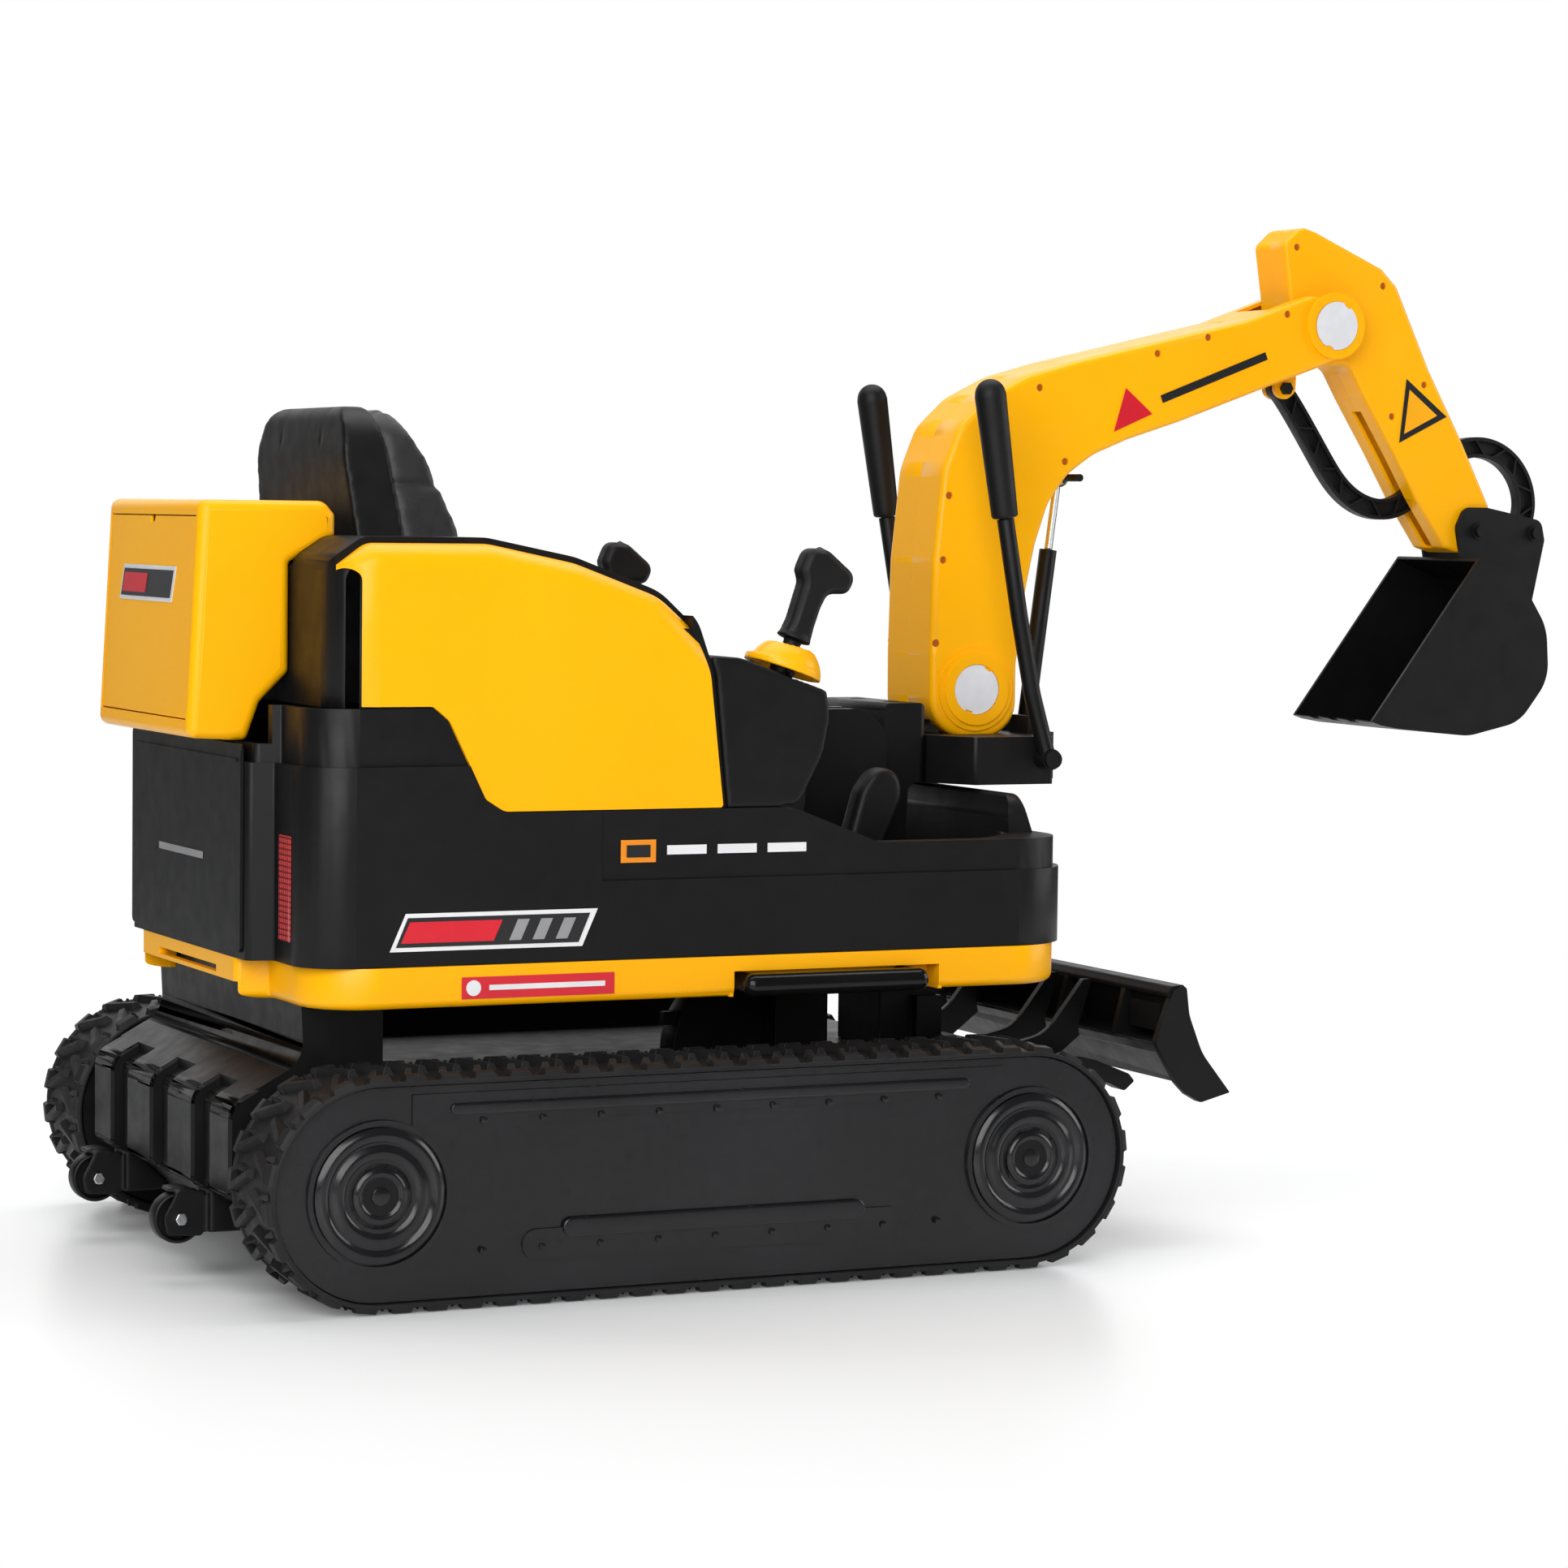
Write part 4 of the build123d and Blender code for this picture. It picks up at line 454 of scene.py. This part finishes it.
def make_belt(sign, side):
    low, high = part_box("track_belt_" + side)
    outer = low.y if sign < 0 else high.y
    inner = high.y if sign < 0 else low.y
    width = abs(outer - inner)
    pitch = belt_length() / LUG_COUNT
    bm = bmesh.new()
    # the band, with a raised bead on each edge
    profile = [(0.0, -0.0015), (0.0, 0.0012), (0.0012, 0.0022), (0.0055, 0.0022), (0.0075, 0.0),
               (width - 0.0075, 0.0), (width - 0.0055, 0.0022), (width - 0.0012, 0.0022), (width, 0.0012),
               (width, -0.0015), (width - 0.001, -BELT_T), (0.001, -BELT_T)]
    count = LUG_COUNT * 5
    loops = []
    for i in range(count):
        s = i * belt_length() / count
        loop = []
        for e, h in profile:
            x, z = on_belt(s, h)
            loop.append(bm.verts.new((x, outer - sign * e, z)))
        loops.append(loop)
    for i in range(count):
        a, b = loops[i], loops[(i + 1) % count]
        for k in range(len(profile)):
            m = (k + 1) % len(profile)
            bm.faces.new((a[k], a[m], b[m], b[k]))
    # tread blocks: an edge block, a slanted bar and a fin, repeated from both edges
    for i in range(LUG_COUNT):
        for from_inside in (False, True):
            start = (i + (0.5 if from_inside else 0.0)) * pitch

            def place(s, e, h, start=start, from_inside=from_inside):
                x, z = on_belt(start + s, h)
                across = width - e if from_inside else e
                return Vector((x, outer - sign * across, z))

            h = LUG_H
            belt_lug(bm, place,
                     [(-0.0125, 0.0), (0.0125, 0.0), (0.0125, 0.016), (-0.0125, 0.016)],
                     [(-0.0095, 0.003), (0.0095, 0.003), (0.0085, 0.0155), (-0.0085, 0.0155)],
                     [h * 0.85, h * 0.85, h, h])
            belt_lug(bm, place,
                     [(-0.011, 0.013), (0.001, 0.013), (0.018, 0.058), (0.006, 0.058)],
                     [(-0.008, 0.014), (-0.002, 0.014), (0.0145, 0.056), (0.0085, 0.056)],
                     [h, h, h * 0.95, h * 0.95])
            belt_lug(bm, place,
                     [(0.009, 0.016), (0.018, 0.020), (0.016, 0.040), (0.008, 0.030)],
                     [(0.0118, 0.021), (0.0135, 0.022), (0.0135, 0.027), (0.0118, 0.026)],
                     [h * 1.0, h * 1.0, h * 0.7, h * 0.7])
    obj = piece("belt_" + side, bm, "track_rubber", "chassis")
    add_bevel(obj, 0.0007, 1, 30)
    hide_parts("track_belt_" + side)


for sign, side in SIDES:
    make_belt(sign, side)


# ------------------------------------------------------------------ seat pads
def cushion_copy(node, name, voxel):
    """The CAD pad as an even mesh of its own."""
    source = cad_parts[node]
    obj = bpy.data.objects.new(name, source.data.copy())
    obj.matrix_world = source.matrix_world.copy()
    bpy.context.scene.collection.objects.link(obj)
    remesh = obj.modifiers.new("even", "REMESH")
    remesh.mode = "VOXEL"
    remesh.voxel_size = voxel
    smooth = obj.modifiers.new("round", "SMOOTH")
    smooth.factor = 0.5
    smooth.iterations = 5
    graph = bpy.context.evaluated_depsgraph_get()
    mesh = bpy.data.meshes.new_from_object(obj.evaluated_get(graph))
    mesh.transform(obj.matrix_world)
    bpy.data.objects.remove(obj)
    return mesh


PUFF_PRESSURE = 4.0
PUFF_FRAMES = 20
PAD_VOXEL = 0.005
SEAM_DEPTH = 0.003
SEAM_WIDTH = 0.004


def puff(mesh, held, limit):
    """Blow the cover up as cloth, with the held vertices fixed and the swelling limited."""
    obj = bpy.data.objects.new("puffing", mesh)
    bpy.context.scene.collection.objects.link(obj)
    group = obj.vertex_groups.new(name="held")
    group.add([v.index for v in mesh.vertices if held(v)], 1.0, "REPLACE")
    cloth = obj.modifiers.new("puff", "CLOTH")
    cloth.settings.use_pressure = True
    cloth.settings.uniform_pressure_force = PUFF_PRESSURE
    cloth.settings.vertex_group_mass = "held"
    cloth.settings.effector_weights.gravity = 0.0
    cloth.settings.mass = 0.3
    cloth.point_cache.frame_start = 1
    cloth.point_cache.frame_end = PUFF_FRAMES
    scene = bpy.context.scene
    for number in range(1, PUFF_FRAMES + 1):
        scene.frame_set(number)
    graph = bpy.context.evaluated_depsgraph_get()
    blown = [v.co.copy() for v in obj.evaluated_get(graph).data.vertices]
    scene.frame_set(1)
    for v, target in zip(mesh.vertices, blown):
        shift = target - v.co
        if shift.length > limit:
            shift *= limit / shift.length
        v.co += shift
    obj.modifiers.clear()
    obj.vertex_groups.clear()
    bpy.data.objects.remove(obj)


def press_seams(mesh, seams, depth, width):
    """Sink the surface along seams, each a function of position that is 0 on the stitch line."""
    normals = [v.normal.copy() for v in mesh.vertices]
    for v, normal in zip(mesh.vertices, normals):
        sink = sum(math.exp(-((seam(v.co) / width) ** 2)) for seam in seams)
        v.co -= normal * depth * min(sink, 1.0)


def make_pad(node, name, held, seams, limit):
    mesh = cushion_copy(node, name, PAD_VOXEL)
    puff(mesh, held, limit)
    press_seams(mesh, seams, SEAM_DEPTH, SEAM_WIDTH)
    obj = dress(name, mesh, "seat_foam", "chassis", 0)
    fine = obj.modifiers.new("fine", "SUBSURF")
    fine.levels = 1
    fine.render_levels = 1
    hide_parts(node)


def make_pads():
    back_low, back_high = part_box("backrest_pad")
    seat_low, seat_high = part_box("seat_cushion")
    quarter = (seat_high.y - seat_low.y) / 4
    make_pad("backrest_pad", "backrest_cushion", lambda v: v.normal.x < 0.1 or v.co.z > back_high.z - 0.03,
             [lambda p: p.z - (back_low.z + 0.13), lambda p: p.z - (back_low.z + 0.21),
              lambda p: abs(p.y) - 0.095], 0.005)
    make_pad("seat_cushion", "seat_pad", lambda v: v.normal.z < 0.2,
             [lambda p: abs(p.y) - quarter, lambda p: p.x - (seat_high.x - 0.055)], 0.004)


make_pads()


# ------------------------------------------------------------------ lathe-turned trim
def lathe(bm, middle, profile, sign, count=72):
    """Turned solid about Y: profile is (radius, distance outwards) in millimetres."""
    loops = []
    for radius, out in profile:
        loop = []
        for i in range(count):
            a = 2 * math.pi * i / count
            loop.append(middle + Vector((radius * math.cos(a), sign * out, radius * math.sin(a))) / 1000)
        loops.append(loop)
    rings(bm, loops)


def wave(r0, r1, base, height, steps=7):
    """Half-round ridge between two radii."""
    points = []
    for i in range(steps + 1):
        t = i / steps
        points.append((r0 + (r1 - r0) * t, base + height * math.sin(math.pi * t)))
    return points


def make_cover_trim(sign, side):
    low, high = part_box("track_covers")
    face = (high.y if sign > 0 else -low.y) * 1000
    bm = bmesh.new()
    for hub in (REAR_HUB, FRONT_HUB):
        middle = Vector((hub.x, 0, hub.z))
        ridge = wave(64, 50, face - 0.5, 3.6) + wave(48, 34, face - 0.5, 3.0)[1:] + [(33, face - 1.5)]
        lathe(bm, middle, [(64, face - 2)] + ridge, sign)
        lathe(bm, middle, [(27, face - 2), (27, face + 0.5)] + wave(26, 18, face + 0.5, 2.2)
              + [(17, face + 0.2), (9, face + 0.2), (8.5, face + 1.6), (7, face + 2.2)], sign, 60)
    stadium_bar(bm, -150, 150, 72, 9, face, sign, 1.6)
    stadium_bar(bm, -268, 268, 190, 5, face, sign, 1.0)
    for x in range(-240, 241, 60):
        lathe(bm, at(x, 0, 178), [(3.4, face - 1), (3.2, face + 0.8), (2.0, face + 1.3)], sign, 18)
        lathe(bm, at(x, 0, 55), [(3.4, face - 1), (3.2, face + 0.8), (2.0, face + 1.3)], sign, 18)
    piece("cover_trim_" + side, bm, "smoked_cover", "chassis", 40)


def stadium_bar(bm, x0, x1, z, half, face, sign, height):
    """Long raised pill on the face, with rounded shoulders."""
    loops = []
    for shrink, out in ((0, -1.0), (0, height * 0.5), (0.8, height * 0.9), (2.0, height)):
        loop = []
        for x, start in ((x1, -90), (x0, 90)):
            for i in range(13):
                a = math.radians(start + i * 15)
                r = half - shrink
                loop.append(at(x + r * math.cos(a), sign * (face + out), z + r * math.sin(a)))
        loops.append(loop)
    rings(bm, loops)


for sign, side in SIDES:
    make_cover_trim(sign, side)


# ------------------------------------------------------------------ plain stickers, and painted shade in the screw wells
def surface(nodes):
    """One ray target made of CAD nodes."""
    points, faces = [], []
    for node in nodes:
        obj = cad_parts[node]
        start = len(points)
        points += [obj.matrix_world @ v.co for v in obj.data.vertices]
        faces += [[start + i for i in p.vertices] for p in obj.data.polygons]
    return BVHTree.FromPolygons(points, faces)


def stick_on(name, slot, body, target, outline, direction, lift):
    """Thin plate on the surface that a ray along direction meets."""
    bm = bmesh.new()
    top, foot = [], []
    for start in outline:
        hit = target.ray_cast(start, direction)[0]
        if hit is None:
            bm.free()
            return
        top.append(bm.verts.new(hit - direction * (lift + 0.0004)))
        foot.append(bm.verts.new(hit - direction * (lift - 0.0002)))
    n = len(outline)
    bm.faces.new(top)
    bm.faces.new(foot[::-1])
    for i in range(n):
        bm.faces.new((top[i], top[(i + 1) % n], foot[(i + 1) % n], foot[i]))
    piece(name, bm, slot, body, 20)


def side_plate(name, slot, body, nodes, points, sign, lift=0.0004):
    side = "right" if sign < 0 else "left"
    outline = [at(x, sign * 420, z) for x, z in points]
    stick_on(name + "_" + side, slot, body, nodes, outline, Vector((0, -sign, 0)), lift)


def rear_plate(name, slot, body, nodes, points, lift=0.0004):
    outline = [at(-700, y, z) for y, z in points]
    stick_on(name, slot, body, nodes, outline, Vector((1, 0, 0)), lift)


def box_points(x0, x1, z0, z1, slant=0.0):
    return [(x0, z0), (x1, z0), (x1 + slant, z1), (x0 + slant, z1)]


def round_points(x, z, r, count=28):
    return [(x + r * math.cos(2 * math.pi * i / count), z + r * math.sin(2 * math.pi * i / count))
            for i in range(count)]


LAYER_1 = 0.0004
LAYER_2 = 0.0009
LAYER_3 = 0.0014


def body_stickers(sign):
    """A plain barred plate low on the flank, and a square with dashes above it."""
    wall = surface(["lower_body"])

    def plate(name, slot, points, lift=LAYER_1):
        side_plate(name, slot, "chassis", wall, points, sign, lift)

    plate("flash_edge", "sticker_white", box_points(-305, -108, 330, 366, 16))
    plate("flash_field", "sticker_black", box_points(-299, -112, 334, 362, 12), LAYER_2)
    plate("flash_band", "sticker_red", box_points(-294, -200, 338, 358, 9), LAYER_3)
    for i in range(3):
        x = -184 + 24 * i
        plate(f"flash_bar{i}", "sticker_grey", box_points(x, x + 12, 338, 358, 9), LAYER_3)
    plate("deck_square", "sticker_orange", box_points(-67, -30, 409, 431))
    plate("deck_centre", "sticker_black", box_points(-61, -36, 414, 426), LAYER_2)
    for i in range(3):
        x = -18 + 54 * i
        plate(f"deck_dash{i}", "sticker_white", box_points(x, x + 42, 416, 425))


def pan_stickers(sign):
    wall = surface(["base_pan"])
    side_plate("pan_strip", "sticker_red", "chassis", wall, box_points(-233, -75, 283, 304), sign)
    side_plate("pan_dot", "sticker_white", "chassis", wall, round_points(-221, 293.5, 7.5), sign, LAYER_2)
    side_plate("pan_line", "sticker_white", "chassis", wall, box_points(-205, -85, 291, 296), sign, LAYER_2)


def arm_stickers_and_well_shade(sign):
    """Plain triangles, one dash, and a disc of painted shade in each screw well."""
    boom = surface(["boom_shell_right", "boom_shell_left"])
    stick = surface(["stick_shell_right", "stick_shell_left"])
    dash = [(664, 872), (795, 922), (792, 930), (661, 880)]
    outer = [(990, 906), (982, 835), (1044, 865)]
    inner = [(994, 894), (988, 845), (1031, 866)]
    side_plate("boom_triangle", "sticker_red", "boom", boom, [(618, 887), (604, 840), (651, 860)], sign)
    side_plate("boom_dash", "sticker_black", "boom", boom, dash, sign)
    side_plate("stick_triangle", "sticker_black", "stick", stick, outer, sign)
    side_plate("stick_field", "sticker_yellow", "stick", stick, inner, sign, LAYER_2)
    # discs of painted shade in the screw wells of the boom and the stick
    for i, (x, z) in enumerate(BOOM_WELLS):
        side_plate(f"boom_well{i}", "painted_well_shade", "boom", boom, round_points(x, z, 3.6, 16), sign)
    for i, (x, z) in enumerate(STICK_WELLS):
        side_plate(f"stick_well{i}", "painted_well_shade", "stick", stick, round_points(x, z, 3.4, 16), sign)


def rear_stickers():
    door = surface(["box_door"])
    rear = surface(["rear_panel", "lower_body"])
    rear_plate("door_edge", "sticker_white", "box_door", door, box_points(-75, 95, 655, 690, -10))
    rear_plate("door_field", "sticker_black", "box_door", door, box_points(-70, 90, 659, 686, -8), LAYER_2)
    rear_plate("door_band", "sticker_red", "box_door", door, box_points(10, 84, 663, 682, -6), LAYER_3)
    rear_plate("rear_line", "sticker_grey", "chassis", rear, box_points(-60, 80, 404, 411))


BOOM_WELLS = ((513, 885), (657, 925), (720, 944), (820, 972), (545, 807), (406, 769), (400, 701),
              (393, 613))
STICK_WELLS = ((844, 1047), (957, 1008), (1014, 900), (972, 864))

for sign, side in SIDES:
    body_stickers(sign)
    pan_stickers(sign)
    arm_stickers_and_well_shade(sign)
rear_stickers()


# ------------------------------------------------------------------ stage and light
def make_stage():
    bm = bmesh.new()
    bmesh.ops.create_grid(bm, x_segments=1, y_segments=1, size=30)
    mesh = bpy.data.meshes.new("floor")
    bm.to_mesh(mesh)
    bm.free()
    floor = bpy.data.objects.new("floor", mesh)
    bpy.context.scene.collection.objects.link(floor)
    s = Shader("floor", (0.97, 0.975, 0.98), 0.3)
    far = s.add("ShaderNodeVectorMath", operation="LENGTH")
    s.link(s.coords, far.inputs[0])
    glow = s.add("ShaderNodeEmission")
    glow.inputs["Color"].default_value = (1, 1, 1, 1)
    ray = s.add("ShaderNodeLightPath")
    blend = s.add("ShaderNodeMixShader")
    whitening = s.spread(far.outputs["Value"], 0.75, 1.35, 0.05, 1.0)
    fade = s.maths("MULTIPLY", whitening, ray.outputs["Is Camera Ray"])
    s.link(fade, blend.inputs[0])
    s.link(s.bsdf.outputs[0], blend.inputs[1])
    s.link(glow.outputs[0], blend.inputs[2])
    s.link(blend.outputs[0], s.tree.nodes["Material Output"].inputs["Surface"])
    mesh.materials.append(s.mat)


def softbox(name, place, target, size, radiance):
    data = bpy.data.lights.new(name, "AREA")
    data.shape = "RECTANGLE"
    data.size = size[0]
    data.size_y = size[1]
    data.energy = radiance * math.pi * size[0] * size[1]
    lamp = bpy.data.objects.new(name, data)
    lamp.location = place
    lamp.rotation_mode = "QUATERNION"
    lamp.rotation_quaternion = (target - place).to_track_quat("-Z", "Y")
    lamp.visible_camera = False
    bpy.context.scene.collection.objects.link(lamp)


def make_light():
    middle = (CAD_LOW + CAD_HIGH) / 2
    softbox("key_softbox", middle + Vector((-2.4, -3.2, 1.5)), middle, (3.4, 2.8), 5.1)
    softbox("top_softbox", middle + Vector((0.0, 0.4, 2.4)), middle, (3.4, 2.4), 2.6)
    softbox("back_wall", middle + Vector((0.9, 3.4, 0.9)), middle, (5.0, 2.4), 1.2)
    softbox("front_softbox", middle + Vector((3.4, -1.2, 0.9)), middle, (1.8, 2.0), 3.6)
    world = bpy.data.worlds.new("studio")
    bpy.context.scene.world = world
    world.use_nodes = True
    tree = world.node_tree
    ray = tree.nodes.new("ShaderNodeLightPath")
    seen = tree.nodes.new("ShaderNodeBackground")
    seen.inputs["Color"].default_value = (1, 1, 1, 1)
    lit = tree.nodes["Background"]
    lit.inputs["Color"].default_value = (0.93, 0.96, 1.0, 1)
    lit.inputs["Strength"].default_value = 0.12
    mix = tree.nodes.new("ShaderNodeMixShader")
    tree.links.new(ray.outputs["Is Camera Ray"], mix.inputs[0])
    tree.links.new(lit.outputs[0], mix.inputs[1])
    tree.links.new(seen.outputs[0], mix.inputs[2])
    tree.links.new(mix.outputs[0], tree.nodes["World Output"].inputs["Surface"])
    bpy.context.scene.view_settings.view_transform = "Standard"


make_stage()
make_light()
